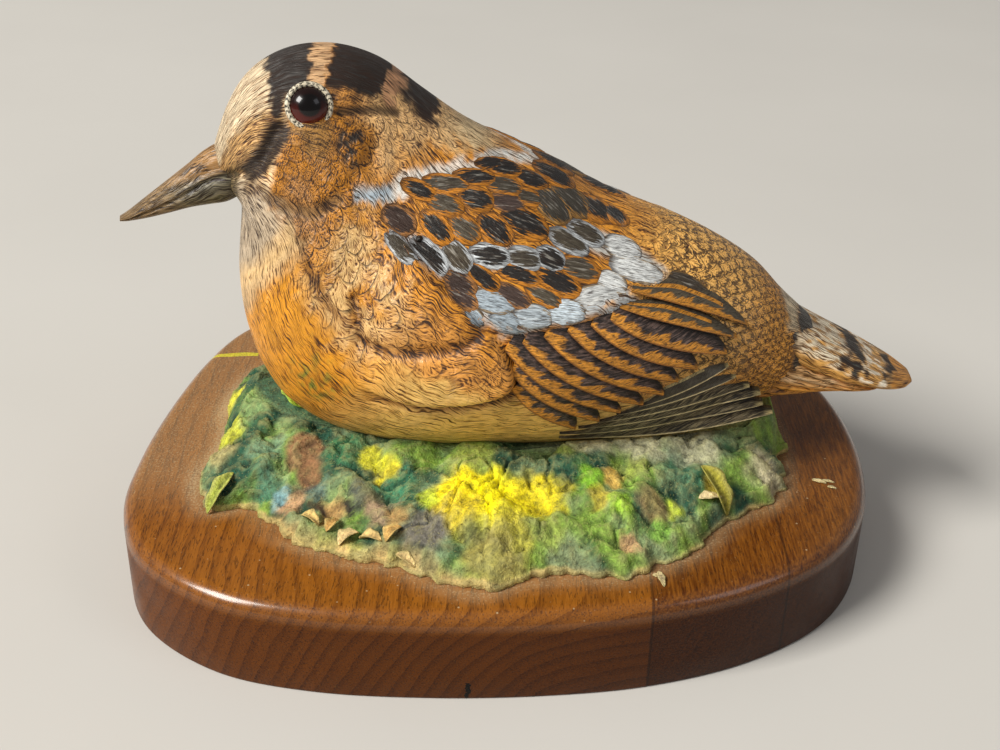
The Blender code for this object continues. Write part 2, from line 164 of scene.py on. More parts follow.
# %% Camera
LOOK_DOWN, ROLL = math.radians(30.0), math.radians(1.2)
CAMERA_PLACE = (-0.0015, -0.3574, 0.2532)
SENSOR, LENS = 36.0, 50.58  # mm
forward = Vector((0, math.cos(LOOK_DOWN), -math.sin(LOOK_DOWN)))
level = Vector((1, 0, 0))
upright = level.cross(forward)
right = math.cos(ROLL) * level + math.sin(ROLL) * upright
up = math.cos(ROLL) * upright - math.sin(ROLL) * level
camera = bpy.data.objects.new("camera", bpy.data.cameras.new("camera"))
camera.data.sensor_width, camera.data.lens = SENSOR, LENS
camera.data.clip_start = 0.01
camera.matrix_world = Matrix((
    (right.x, up.x, -forward.x, CAMERA_PLACE[0]), (right.y, up.y, -forward.y, CAMERA_PLACE[1]),
    (right.z, up.z, -forward.z, CAMERA_PLACE[2]), (0, 0, 0, 1)))
bpy.context.scene.collection.objects.link(camera)
bpy.context.scene.camera = camera
print("camera", [round(v, 4) for v in camera.location])

# %% [markdown]
# ## Table and light
#
# The decoy stands on a plain pale grey sheet. One broad soft light hangs above and to the left,
# a weaker one lifts the right side, and the sky of the world fills the rest, which gives the
# soft shadow to the right and the long highlight on the varnished edge.

# %% Table and light
SHEET_SIZE = 3.0


def soft_light(name, place, aim, size, power, colour):
    """A square lamp that points at a place."""
    lamp = bpy.data.objects.new(name, bpy.data.lights.new(name, "AREA"))
    lamp.data.shape = "SQUARE"
    lamp.data.size = size
    lamp.data.energy = power
    lamp.data.color = linear(colour)[:3]
    lamp.location = place
    lamp.rotation_euler = (Vector(aim) - Vector(place)).to_track_quat("-Z", "Y").to_euler()
    bpy.context.scene.collection.objects.link(lamp)


sheet_paper, tree, shader = new_material("matt_grey_paper")
spot = add(tree, "TexCoord")
mottle = add(tree, "TexNoise", {"Vector": spot.outputs["Object"], "Scale": 6.0, "Detail": 5.0})
tint = add(tree, "Mix RGBA", {0: mottle, 6: linear("CAC7C1"), 7: linear("D4D1CB")})
feed(shader, {"Base Color": tint, "Roughness": 0.75})
half = SHEET_SIZE / 2 / MM
sheet = new_piece("table_sheet", [(-half, -half, 0), (half, -half, 0), (half, half, 0), (-half, half, 0)],
                  [(0, 1, 2, 3)], sheet_paper, None, smooth_shaded=False)

soft_light("window_left", (-2.55, -1.4, 2.75), (0, 0, 0.06), 1.6, 196.0, "FFFCF6")
soft_light("room_right", (1.8, -1.0, 1.6), (0, 0, 0.06), 1.0, 5.0, "F6F7FF")
world = bpy.data.worlds.new("pale_room")
bpy.context.scene.world = world
world.use_nodes = True
world.node_tree.nodes["Background"].inputs["Color"].default_value = linear("EBE9E6")
world.node_tree.nodes["Background"].inputs["Strength"].default_value = 0.3
# %% [markdown]
# ## The walnut board
#
# The real base is a walnut board 27 mm thick, sawn to a freehand outline and rounded over along
# its top edge. It could be a bevelled extrusion. Here rings of points climb the wall, go round
# the quarter circle of the edge and close in over the top, which keeps the outline exact and
# gives the flat top enough points to carry a value for the dust around the moss and for the
# dust and painted sheen at the ends of the top.

# %% The board's shape
BOARD_THICK, EDGE_ROUND, FOOT_CHAMFER = 26.7, 4.5, 0.8
BOARD_CORNERS = [
    (-106.5, -15), (-105.5, -38.8), (-96, -61.5), (-74.7, -78), (-48.7, -84.8), (-18, -86.3),
    (12, -84.6), (39.6, -80), (66, -70.3), (88, -55), (101, -35), (106.3, -10), (105.4, 18),
    (98.5, 42), (84.5, 61), (63, 75), (36, 83), (6, 86.3), (-26, 86.3), (-54, 83.2),
    (-76, 76), (-90, 63), (-98.5, 41), (-104, 12)]
MOSS_CORNERS = [
    (-86, -29), (-81, -43), (-71, -42), (-65, -48), (-54, -58), (-42, -64), (-28, -67),
    (-19, -72), (-6, -77), (5, -72), (17, -69.5), (30, -69), (40, -65), (53, -55.5),
    (62, -43), (78, -31), (81.5, -13), (82, 6), (78, 24), (66, 42), (46, 55), (18, 63),
    (-14, 65), (-42, 60), (-64, 49), (-79, 32), (-85, 12), (-82, -8)]


def closed_curve(corners, count):
    """Evenly numbered points of a smooth closed curve through the corners."""
    corners = np.array(corners, float)
    n = len(corners)
    u = np.arange(count) * n / count
    i = np.floor(u).astype(int)
    f = (u - i)[:, None]
    a, b, c, d = (corners[(i + k) % n] for k in (-1, 0, 1, 2))
    return 0.5 * (2 * b + (c - a) * f + (2 * a - 5 * b + 4 * c - d) * f ** 2
                  + (3 * b - a - 3 * c + d) * f ** 3)


def ring_faces(rings, sides):
    """Faces of a tube of closed rings, with a cap at each end."""
    faces = [(i * sides + j, i * sides + (j + 1) % sides, (i + 1) * sides + (j + 1) % sides,
              (i + 1) * sides + j) for i in range(rings - 1) for j in range(sides)]
    return faces + [tuple(range(sides)), tuple((rings - 1) * sides + j for j in range(sides))]


def distance_to_line(points, line):
    """Distance from each point to an open line of straight pieces."""
    line = np.array(line, float)
    best = np.full(len(points), 1e9)
    for start, end in zip(line[:-1], line[1:]):
        along = end - start
        t = np.clip((points - start) @ along / (along @ along), 0.0, 1.0)
        best = np.minimum(best, np.linalg.norm(points - start - t[:, None] * along, axis=1))
    return best


outline = closed_curve(BOARD_CORNERS, 320)
tangent = np.roll(outline, -1, 0) - np.roll(outline, 1, 0)
inward = np.column_stack([-tangent[:, 1], tangent[:, 0]])
inward /= np.linalg.norm(inward, axis=1, keepdims=True)
levels = [(FOOT_CHAMFER, 0.0), (0.25 * FOOT_CHAMFER, 0.35 * FOOT_CHAMFER), (0.0, FOOT_CHAMFER)]
levels += [(0.0, z) for z in (8.0, 15.0)]
levels += [(EDGE_ROUND * (1 - math.cos(a)), BOARD_THICK - EDGE_ROUND * (1 - math.sin(a)))
           for a in np.linspace(0, math.pi / 2, 10)]
rings = [np.column_stack([outline + inward * inset, np.full(len(outline), z)]) for inset, z in levels]
rim = rings[-1]
rings += [rim * (s, s, 1) for s in (0.985, 0.96, 0.93, 0.9, 0.86, 0.82, 0.78, 0.73, 0.68, 0.6, 0.4, 0.15)]
board_points = np.vstack(rings)
board = new_piece("walnut_board", board_points, ring_faces(len(rings), 320), None, "walnut",
                  "walnut_base", sharp=40)
moss_edge = closed_curve(MOSS_CORNERS, 140)
to_moss = distance_to_line(board_points[:, :2], np.vstack([moss_edge, moss_edge[:1]]))
dust_and_sheen = 0.8 * np.exp(-(to_moss / 3.2) ** 2)
# Dust and painted sheen: a pale patch at the left end of the top, and a faint one at the right end.
dust_and_sheen += 0.62 * smooth(-66, -86, board_points[:, 0]) * smooth(-52, -20, board_points[:, 1])
dust_and_sheen += 0.12 * smooth(70, 98, board_points[:, 0])
dust_and_sheen *= board_points[:, 2] > BOARD_THICK - 1.0
keep(board, "dust_and_sheen", dust_and_sheen)
print("board outline", outline.min(0).round(1), outline.max(0).round(1))

# %% [markdown]
# ## Oiled and varnished walnut
#
# American black walnut, planed, sanded and brushed with a satin varnish. The boards are glued
# side by side with the grain running from front to back, so the growth rings show as arcs on the
# front end grain and as straight bands on the top, and one pattern of cylinders about a pith
# below the board gives both. Vessels are dark dashes about 0.3 mm wide, drawn 0.45 mm wide so
# that they show. Two glue joints part three boards of different tone. Wood has an index of
# refraction near 1.5. The varnish has gathered on the rounded edge, so the clear coat is thickest
# there, which gives the long highlight. A little yellow paint was wiped off behind the ground.
# The side wall is painted darker than the top as painted shade, and darker still towards the
# right, away from the light.

# %% Walnut finish
RING_SPACING, JOINTS, TOP_FROM = 4.0, (38.5, 75.5), 24.0
# x, width and height of the crack; x and y of the wiped paint, and half its length and width
CRACK_X, CRACK_HALF, CRACK_HIGH = -6.5, 0.45, 5.5
SMEAR_X, SMEAR_Y, SMEAR_LONG, SMEAR_WIDE = -89.5, 49.5, 8.5, 0.9
walnut, tree, shader = new_material("varnished_black_walnut")
spot = add(tree, "TexCoord").outputs["Object"]
where = add(tree, "SeparateXYZ", spot)
second = add(tree, "Math GREATER_THAN", where.outputs["X"], JOINTS[0] * MM)
third = add(tree, "Math GREATER_THAN", where.outputs["X"], JOINTS[1] * MM)
boards = add(tree, "Math ADD", second, third)
bend = add(tree, "TexNoise", {"Vector": spot, "Scale": 26.0, "Detail": 2.0})
sway = add(tree, "VectorMath SUBTRACT", bend.outputs["Color"], (0.5, 0.5, 0.5))
swayed = add(tree, "VectorMath MULTIPLY_ADD", sway, (0.008, 0.0, 0.008), spot)
shift = add(tree, "MapRange", boards, 0.0, 2.0, -0.034, -0.22)
pith = add(tree, "CombineXYZ", {0: shift, 2: 0.032})
centred = add(tree, "VectorMath ADD", swayed, pith)
growth = add(tree, "TexWave", {"Vector": centred, "Scale": 2 * math.pi / (20 * RING_SPACING * MM),
                               "Distortion": 1.2, "Detail": 2.0, "Detail Scale": 0.5},
             wave_type="RINGS", rings_direction="Y", wave_profile="SAW")
late = add(tree, "MapRange", growth.outputs["Fac"], 0.45, 0.97)
board_tone = add(tree, "MapRange", boards, 0.0, 1.0, 0.0, 0.8)
broad_map = add(tree, "Mapping", {0: spot, 3: (55.0, 9.0, 55.0)})
broad = add(tree, "TexNoise", {0: broad_map, "Scale": 1.0, "Detail": 4.0, "Roughness": 0.6})
fibre_map = add(tree, "Mapping", {0: spot, 3: (1900.0, 150.0, 1900.0)})
fibre = add(tree, "TexNoise", {0: fibre_map, "Scale": 1.0, "Detail": 3.0})
pore_map = add(tree, "Mapping", {0: spot, 3: (2900.0, 420.0, 2900.0)})
pore_noise = add(tree, "TexNoise", {0: pore_map, "Scale": 1.0, "Detail": 1.0})
pores = add(tree, "MapRange", pore_noise, 0.58, 0.66)

heart = add(tree, "Mix RGBA", {0: broad, 6: linear("9C5E18"), 7: linear("6E3E10")})
ring_part = add(tree, "Math MULTIPLY", late, 0.72)
ringed = add(tree, "Mix RGBA", {0: ring_part, 6: heart, 7: linear("4E260A")})
toned = add(tree, "Mix RGBA", {0: board_tone, 6: ringed, 7: linear("4A2208")})
fibre_part = add(tree, "MapRange", fibre, 0.35, 0.7, 0.0, 0.5)
streaked = add(tree, "Mix RGBA", {0: fibre_part, 6: toned, 7: linear("A86820")})
pore_part = add(tree, "Math MULTIPLY", pores, 0.52)
pored = add(tree, "Mix RGBA", {0: pore_part, 6: streaked, 7: linear("2A1408")})
off_joint = [add(tree, "Math SUBTRACT", where.outputs["X"], x * MM) for x in JOINTS]
near_joint = [add(tree, "Math COMPARE", o, 0.0, 0.00035) for o in off_joint]
glue_lines = add(tree, "Math MAXIMUM", near_joint[0], near_joint[1])
glue_part = add(tree, "Math MULTIPLY", glue_lines, 0.6)
glued = add(tree, "Mix RGBA", {0: glue_part, 6: pored, 7: linear("2E170A")})
crack_wobble = add(tree, "TexNoise", {0: spot, "Scale": 500.0})
crack_x = add(tree, "Math MULTIPLY_ADD", crack_wobble, 0.003, where.outputs["X"])
crack_near = add(tree, "Math COMPARE", crack_x, CRACK_X * MM, CRACK_HALF * MM)
crack_low = add(tree, "Math LESS_THAN", where.outputs["Z"], CRACK_HIGH * MM)
crack_front = add(tree, "Math LESS_THAN", where.outputs["Y"], -0.05)
crack_where = add(tree, "Math MULTIPLY", crack_low, crack_front)
crack = add(tree, "Math MULTIPLY", crack_near, crack_where)
cracked = add(tree, "Mix RGBA", {0: crack, 6: glued, 7: linear("0C0603")})
dust_and_sheen_near = add(tree, "Attribute", attribute_name="dust_and_sheen")
dust_noise = add(tree, "TexNoise", {0: spot, "Scale": 1500.0, "Detail": 2.0, "Roughness": 0.6})
dust_cut = add(tree, "Math MULTIPLY_ADD", dust_and_sheen_near.outputs["Fac"], 0.2, dust_noise)
dust_specks = add(tree, "MapRange", dust_cut, 0.66, 0.78, 0.0, 0.35)
dust_and_sheen_part = add(tree, "Math MULTIPLY_ADD", dust_and_sheen_near.outputs["Fac"], 0.42, dust_specks)
speck_cells = add(tree, "TexVoronoi", {0: spot, "Scale": 210.0})
specks = add(tree, "MapRange", speck_cells.outputs["Distance"], 0.07, 0.045, 0.0, 0.8)
face_up = add(tree, "Math GREATER_THAN", where.outputs["Z"], TOP_FROM * MM)
specks_up = add(tree, "Math MULTIPLY", specks, face_up)
pale = add(tree, "Math MAXIMUM", dust_and_sheen_part, specks_up)
dust_and_sheen_colour = add(tree, "Mix RGBA", {0: pale, 6: cracked, 7: linear("BCA27C")})
smear_y = add(tree, "Math MULTIPLY_ADD", bend, 0.012, where.outputs["Y"])
smear_y = add(tree, "Math COMPARE", smear_y, SMEAR_Y * MM, SMEAR_WIDE * MM)
smear_x = add(tree, "Math COMPARE", where.outputs["X"], SMEAR_X * MM, SMEAR_LONG * MM)
smear = add(tree, "Math MULTIPLY", smear_x, smear_y)
smear = add(tree, "Math MULTIPLY", smear, face_up)
smear = add(tree, "Math MULTIPLY", smear, dust_noise)
dust_and_sheen_colour = add(tree, "Mix RGBA", {0: smear, 6: dust_and_sheen_colour, 7: linear("F4F030")})
# Painted shade: the side wall below the rounded edge is darkened, and more so towards the right.
low_side = add(tree, "MapRange", where.outputs["Z"], 0.0205, 0.0262)
shade_to_right = add(tree, "MapRange", where.outputs["X"], -0.1, 0.08)
side_shade_tint = add(tree, "Mix RGBA", {0: shade_to_right, 6: (0.46, 0.37, 0.2, 1.0), 7: (0.26, 0.19, 0.09, 1.0)})
painted_side_shade = add(tree, "Mix RGBA", {0: low_side, 6: side_shade_tint, 7: (1.0, 1.0, 1.0, 1.0)})
with_painted_shade = add(tree, "VectorMath MULTIPLY", dust_and_sheen_colour, painted_side_shade)
sheen_noise = add(tree, "TexNoise", {0: spot, "Scale": 90.0, "Detail": 4.0})
rough = add(tree, "MapRange", sheen_noise, 0.3, 0.7, 0.3, 0.46)
rough_dust = add(tree, "Math MULTIPLY_ADD", pale, 0.5, rough)
relief = add(tree, "Math MULTIPLY_ADD", pores, -0.8, fibre)
relief_crack = add(tree, "Math MULTIPLY_ADD", crack, -3.0, relief)
bump = add(tree, "Bump", {"Strength": 0.5, "Distance": 0.00012, "Height": relief_crack})
edge_coat = add(tree, "MapRange", where.outputs["Z"], 0.0215, 0.0235, 0.05, 0.9)
flat_coat = add(tree, "MapRange", where.outputs["Z"], 0.0261, 0.0266, 1.0, 0.25)
coat = add(tree, "Math MULTIPLY", edge_coat, flat_coat)
feed(shader, {"Base Color": with_painted_shade, "Roughness": rough_dust, "Normal": bump, "IOR": 1.5,
              "Specular IOR Level": 0.14, "Coat Weight": coat, "Coat Roughness": 0.19})
board.data.materials.append(walnut)
print("walnut nodes", len(tree.nodes))
# %% [markdown]
# ## The mossy ground
#
# The maker spread a paste of filler and sawdust on the board round the bird's belly, pressed
# and pulled it into lumps, and painted it green, yellow and brown. It could be sculpted. Here a
# fan of points runs from the broken lip to the oval under the bird, and several layers of noise
# lift it, wide lumps first and grit last. Listed lumps and hollows put the main forms where the
# photograph shows them.

# %% The ground's shape
MOSS_RISE, MOSS_LIP, MOSS_FOOT = 15.0, 2.4, BOARD_THICK + 0.3
SEAT = np.array((2.0, -2.0)), np.array((76.0, 28.0))
MOSS_RAYS, MOSS_CIRCLES = 400, 60
# Lumps and hollows: x, y, radius, height
LUMPS = [(-9, -46, 15, 3.0), (-2, -66, 9, 2.6), (-21, -60, 8, 1.6), (24, -50, 15, 2.4), (45, -46, 12, 2.2),
         (-54, -33, 8, 2.6), (-72, -22, 12, 1.4), (-62, -9, 5, 3.4), (-36, -46, 8, 1.8), (56, -38, 7, 2.4),
         (-47, -50, 4, -2.2), (-30, -51, 4, -1.4), (-66, -38, 6, 1.6), (70, -18, 9, -1.4), (8, -31, 9,
                                                                                            -1.6),
         (36, -30, 9, 1.4), (-18, -33, 7, -1.6), (-40, -29, 7, 1.2), (20, -64, 7, -1.0), (50, -58, 6, -0.8)]


def roughness_of(points, size, seed, octaves=1):
    """Noise with features of a size in millimetres, one value for each (x, y)."""
    return np.array([sum(noise.noise(Vector((x, y, seed * 17.0)) * (2 ** k / size)) / 2 ** k
                         for k in range(octaves)) for x, y in points])


moss_outline = closed_curve(MOSS_CORNERS, MOSS_RAYS)
nick = roughness_of(moss_outline, 5.0, 1, 3)
inner = SEAT[0] - moss_outline
inner /= np.linalg.norm(inner, axis=1, keepdims=True)
teeth = smooth(66, 76, moss_outline[:, 0]) * roughness_of(moss_outline, 2.6, 2, 2)
moss_outline = moss_outline + inner * (0.8 + 2.4 * nick + 3.0 * teeth)[:, None]
from_seat = (moss_outline - SEAT[0]) / SEAT[1]
bearing = np.arctan2(from_seat[:, 1], from_seat[:, 0])
seat = SEAT[0] + SEAT[1] * np.column_stack([np.cos(bearing), np.sin(bearing)])
steps = np.concatenate([[0.0, 0.004], 0.012 + 0.988 * np.linspace(0, 1, MOSS_CIRCLES - 2) ** 1.1])
moss_flat = moss_outline[None] + (seat - moss_outline)[None] * steps[:, None, None]
t = np.repeat(steps, MOSS_RAYS)
flat = moss_flat.reshape(-1, 2)
height = MOSS_LIP + (MOSS_RISE - MOSS_LIP) * smooth(-0.25, 1.0, t)
waves = 3.4 * roughness_of(flat, 13.0, 0) + 2.2 * roughness_of(flat, 6.0, 3)
height += waves * (0.4 + 0.6 * smooth(0, 0.3, t))
for x, y, radius, lift in LUMPS:
    height += lift * np.exp(-(((flat - (x, y)) ** 2).sum(1)) / radius ** 2)
folds = np.abs(roughness_of(flat, 9.0, 5, 2))
height -= 1.6 * np.exp(-(folds / 0.07) ** 2) * smooth(0.02, 0.2, t)
height += (0.65 * roughness_of(flat, 2.4, 6, 2) + 0.22 * roughness_of(flat, 0.9, 7)) * smooth(0, 0.08, t)
lip = MOSS_LIP * (0.45 + 0.7 * smooth(-0.5, 0.5, roughness_of(flat, 8.0, 8)))
lip *= 1 - 0.45 * smooth(10, 60, flat[:, 0])
height = np.where(t < 0.09, lip + (height - lip) * smooth(0, 0.09, t), height)
height = np.clip(height, 0.5, MOSS_RISE + 1.5)
height[:MOSS_RAYS] = 0.25
moss_points = np.column_stack([flat, MOSS_FOOT - 0.3 + height])
foot = np.column_stack([moss_outline + inner * 0.25, np.full(MOSS_RAYS, MOSS_FOOT - 0.3)])
ground_points = np.vstack([foot, moss_points])
ground = new_piece("moulded_ground", ground_points, ring_faces(MOSS_CIRCLES + 1, MOSS_RAYS), None,
                   "painted_moss", "mossy_ground")
print("ground rises to", round(float(ground_points[:, 2].max()), 1), "mm")

# %% [markdown]
# ## Poster paint on the ground
#
# Matt water paint dabbed on with a stiff brush: dark green first, grey-green over it where it
# has gathered dust, and clear yellow, lime and brown dabs on the lumps. The dabs are a list of
# places and colours, worked out for each point of the mesh, so each colour sits on its own
# lump. The shader frays their edges, adds grit of 0.5 mm, lightens the crests and darkens the
# hollows as painted shade.

# %% The ground's paint
MOSS_GREEN, MOSS_DARK, MOSS_DUSTY = "7C9C3C", "1F4C38", "8A9C70"
# Dabs: x, y, radius, colour, strength
DABS = [
    (-10, -50, 10, "F4E010", 1.0), (-1, -52, 11, "FFF000", 1.0), (-13, -57, 8, "DCC428", 0.9),
    (9, -49, 9, "E6D41C", 0.9), (-9, -36, 7, "9AA446", 0.7), (3, -62, 7, "C4B840", 0.8),
    (-3, -69, 8, "9C9048", 0.9), (4, -72, 5, "B0A458", 0.8), (-20, -61, 7, "6A665C", 1.0),
    (-55, -33, 5, "8F6A46", 1.0), (-53, -39, 4, "8A5F40", 0.9), (-56, -46, 4, "B9926A", 0.9),
    (-87, 8, 8, "C6C43A", 0.8), (-79, -16, 6, "C4C634", 0.9), (-80, -25, 5, "B9A86E", 0.7),
    (-59, -8, 4, "A7CC2C", 1.0), (-62, 2, 6, "22663A", 0.9), (-44, -33, 7, "3A7048", 0.9),
    (-46, -51, 4, "C89F62", 1.0), (-33, -52, 5, "9C8468", 1.0), (-28, -56, 4, "B98F55", 0.8),
    (-28, -45, 6, "3C7A58", 0.9), (-32, -40, 4, "D8C92A", 0.9), (23, -45, 5, "7DB02C", 1.0),
    (29, -42, 4, "D2A54A", 0.8), (26, -50, 4, "C9B236", 0.7), (8, -27, 8, "6E8A50", 0.8),
    (17, -30, 6, "86963E", 0.8), (51, -34, 8, "3E7458", 0.8), (58, -38, 4, "9C8C2C", 1.0),
    (74, -26, 7, "B5A98C", 0.9), (50, -20, 6, "C6B73A", 0.8), (60, -18, 6, "6E7A56", 0.8),
    (40, -62, 7, "7E8C66", 0.8), (18, -67, 7, "86926E", 0.8), (-66, -30, 6, "6E9070", 0.8),
    (-70, -10, 8, "86A264", 0.7), (-65, -40, 5, "3E7460", 0.8), (-61, -44, 3, "7CA2A6", 0.9),
    (-50, -44, 4, "5A6D66", 0.8), (-38, -47, 4, "4D4E4A", 0.9), (-49.5, -49.5, 2.4, "3A2A1A", 1.0),
    (-42, -51, 2.2, "2E2A22", 1.0), (-33, -49, 2.4, "38362C", 0.9), (-84, 6, 6, "D6D23A", 0.9),
    (31, -52, 4, "9CC82C", 0.9), (41, -56, 4, "7AA83A", 0.8), (46, -48, 3, "B8C832", 0.9),
    (12, -60, 5, "8A9A40", 0.8), (34, -62, 3, "C89A70", 0.8), (60, -46, 4, "2E5A4A", 0.9),
    (-36, -36, 4, "D8D42C", 0.9), (-20, -50, 4, "B8CC30", 0.8), (40, -50, 5, "B08A5E", 0.6),
    # Pale film and painted light: the dabs at y -26 and -27 under the belly are a dusty film, painted paler
    # against the shade of the wing over them.
    (36, -38, 5, "A9B052", 0.6), (24, -27, 8, "D0CAA4", 0.85), (38, -27, 9, "D4CEAC", 0.9),
    (53, -26, 8, "CCC8A4", 0.9), (0, 45, 16, "4E7A4E", 0.8), (-45, 40, 12, "B9B23C", 0.7),
    (48, 40, 12, "86924E", 0.7), (20, 52, 9, "C9BC34", 0.8), (-20, 54, 9, "5A6E4A", 0.8),
    (-70, 28, 8, "7B8A5C", 0.7)]


def ground_paint(points):
    """Linear colour of the dabs at each (x, y), with their edges pushed about by noise."""
    pushed = points + 2.6 * np.column_stack([roughness_of(points, 5.0, 11, 2),
                                             roughness_of(points, 5.0, 12, 2)])
    mix = smooth(-0.25, 0.35, roughness_of(points, 14.0, 13, 3))[:, None]
    colour = rgb(MOSS_DARK) * (1 - mix) + rgb(MOSS_GREEN) * mix
    mix = smooth(0.0, 0.4, roughness_of(points, 9.0, 14, 3))[:, None] * 0.6
    colour = colour * (1 - mix) + rgb(MOSS_DUSTY) * mix
    for x, y, radius, code, strength in DABS:
        gap = np.linalg.norm(pushed - (x, y), axis=1) / radius
        mix = (strength * (1 - smooth(0.55, 1.15, gap)))[:, None]
        colour = colour * (1 - mix) + rgb(code) * mix
    return colour


ground_colour = ground_paint(ground_points[:, :2])
torn = smooth(-64, -50, ground_points[:, 0]) * smooth(-6, -22,
                                                      ground_points[:, 0]) * (ground_points[:, 1] < 0)
rim_mix = 1 - smooth(0.0, 0.035 + 0.09 * torn, np.concatenate([np.zeros(MOSS_RAYS), t]))
rim_mix *= 0.4 + 0.5 * smooth(-0.2, 0.3, roughness_of(ground_points[:, :2], 7.0, 15)) + 0.3 * torn
rim_mix = np.clip(rim_mix, 0, 1)[:, None]
ground_colour = ground_colour * (1 - rim_mix) + rgb("C2A468") * rim_mix
keep(ground, "paint", ground_colour)

poster_paint, tree, shader = new_material("matt_poster_paint_on_filler")
spot = add(tree, "TexCoord").outputs["Object"]
paint = add(tree, "Attribute", attribute_name="paint")
grit = add(tree, "TexNoise", {0: spot, "Scale": 1100.0, "Detail": 4.0, "Roughness": 0.7})
dabbed = add(tree, "TexNoise", {0: spot, "Scale": 380.0, "Detail": 5.0, "Roughness": 0.65})
value = add(tree, "MapRange", dabbed, 0.3, 0.7, 0.5, 1.95)
grit_value = add(tree, "MapRange", grit, 0.3, 0.7, 0.7, 1.3)
both = add(tree, "Math MULTIPLY", value, grit_value)
varied = add(tree, "VectorMath SCALE", {0: paint.outputs["Vector"], 3: both})
pointiness = add(tree, "NewGeometry")
parts = add(tree, "SeparateXYZ", paint.outputs["Vector"])
not_yellow = add(tree, "MapRange", parts.outputs["Z"], 0.006, 0.035, 0.1, 1.0)
# The crests are lightened towards pale straw, except on the yellow dabs.
crest = add(tree, "MapRange", pointiness.outputs["Pointiness"], 0.5, 0.56, 0.0, 0.35)
crest = add(tree, "Math MULTIPLY", crest, not_yellow)
lightened_crests = add(tree, "Mix RGBA", {0: crest, 6: varied, 7: linear("D0C880")})
film = add(tree, "TexNoise", {0: spot, "Scale": 120.0, "Detail": 6.0, "Roughness": 0.65})
film_part = add(tree, "MapRange", film, 0.5, 0.72, 0.0, 0.28)
film_part = add(tree, "Math MULTIPLY", film_part, not_yellow)
filmed = add(tree, "Mix RGBA", {0: film_part, 6: lightened_crests, 7: linear("A8B07C")})
# Painted shade: the hollows of the paste are darkened towards near black green.
hollow = add(tree, "MapRange", pointiness.outputs["Pointiness"], 0.49, 0.4, 0.0, 0.7)
painted_hollow_shade = add(tree, "Mix RGBA", {0: hollow, 6: filmed, 7: linear("16281A")})
lumps = add(tree, "Math MULTIPLY_ADD", dabbed, 2.0, grit)
bump = add(tree, "Bump", {"Strength": 1.0, "Distance": 0.0007, "Height": lumps})
gloss = add(tree, "MapRange", film, 0.38, 0.55, 0.42, 0.85)
feed(shader, {"Base Color": painted_hollow_shade, "Normal": bump, "Roughness": gloss, "IOR": 1.45})
ground.data.materials.append(poster_paint)
print("dabs of paint", len(DABS))

# %% [markdown]
# ## Sawdust on the ground
#
# The paste was strewn with sawdust and torn fibres before it was painted, which makes the fuzzy
# yellow and dusty places. Grains that are strewn over a surface are work for Geometry Nodes: the
# tree spreads points over the ground with a fixed seed, puts one small splinter with few faces
# on each, turned and sized at random, and they keep the colour of the ground under them.

# %% Splinters strewn by Geometry Nodes
GRAINS, GRAIN_SMALL, GRAIN_LARGE = 0.5e6, 0.2, 0.6  # on a square metre; half lengths in mm


def new_tree(name, labels, result):
    """An empty Geometry Nodes tree with named inputs and one geometry as its result."""
    tree = bpy.data.node_groups.new(name, "GeometryNodeTree")
    for label, kind in labels.items():
        tree.interface.new_socket(label, in_out="INPUT", socket_type="NodeSocket" + kind)
    tree.interface.new_socket(result, in_out="OUTPUT", socket_type="NodeSocketGeometry")
    return tree, add(tree, "NodeGroupInput")


def run_tree(name, start, tree, values, node):
    """Run a tree on a start object and keep what it makes as one plain piece."""
    modifier = start.modifiers.new(name, "NODES")
    modifier.node_group = tree
    sockets = {item.name: item.identifier for item in tree.interface.items_tree if item.in_out == "INPUT"}
    for label, value in values.items():
        modifier[sockets[label]] = value
    mesh = bpy.data.meshes.new_from_object(start.evaluated_get(bpy.context.evaluated_depsgraph_get()))
    mesh.name = name
    bpy.data.objects.remove(start)
    piece = bpy.data.objects.new(name, mesh)
    bpy.context.scene.collection.objects.link(piece)
    declare(piece, node)


def strewn_splinters(finish):
    """A Geometry Nodes tree that strews one splinter over the ground it is given."""
    tree, given = new_tree("strew_splinters", {"Ground": "Geometry", "Splinter": "Object",
                                               "Per square metre": "Float",
                                               "Smallest": "Float", "Largest": "Float"}, "Splinters")
    spread = add(tree, "GeometryNodeDistributePointsOnFaces",
                 {"Mesh": given.outputs["Ground"], "Density": given.outputs["Per square metre"], "Seed": 4})
    splinter = add(tree, "GeometryNodeObjectInfo", {"Object": given.outputs["Splinter"]})
    size = add(tree, "FunctionNodeRandomValue", {2: given.outputs["Smallest"], 3: given.outputs["Largest"],
                                                 "Seed": 5})
    turn = add(tree, "FunctionNodeRandomValue", {0: (-0.7, -0.7, 0.0), 1: (0.7, 0.7, 6.28), "Seed": 6},
               data_type="FLOAT_VECTOR")
    laid = add(tree, "GeometryNodeInstanceOnPoints",
               {"Points": spread.outputs["Points"], "Instance": splinter.outputs["Geometry"],
                "Rotation": turn, "Scale": size.outputs[1]})
    real = add(tree, "GeometryNodeRealizeInstances", laid)
    painted = add(tree, "GeometryNodeSetMaterial", {"Geometry": real, "Material": finish})
    add(tree, "NodeGroupOutput", painted)
    return tree


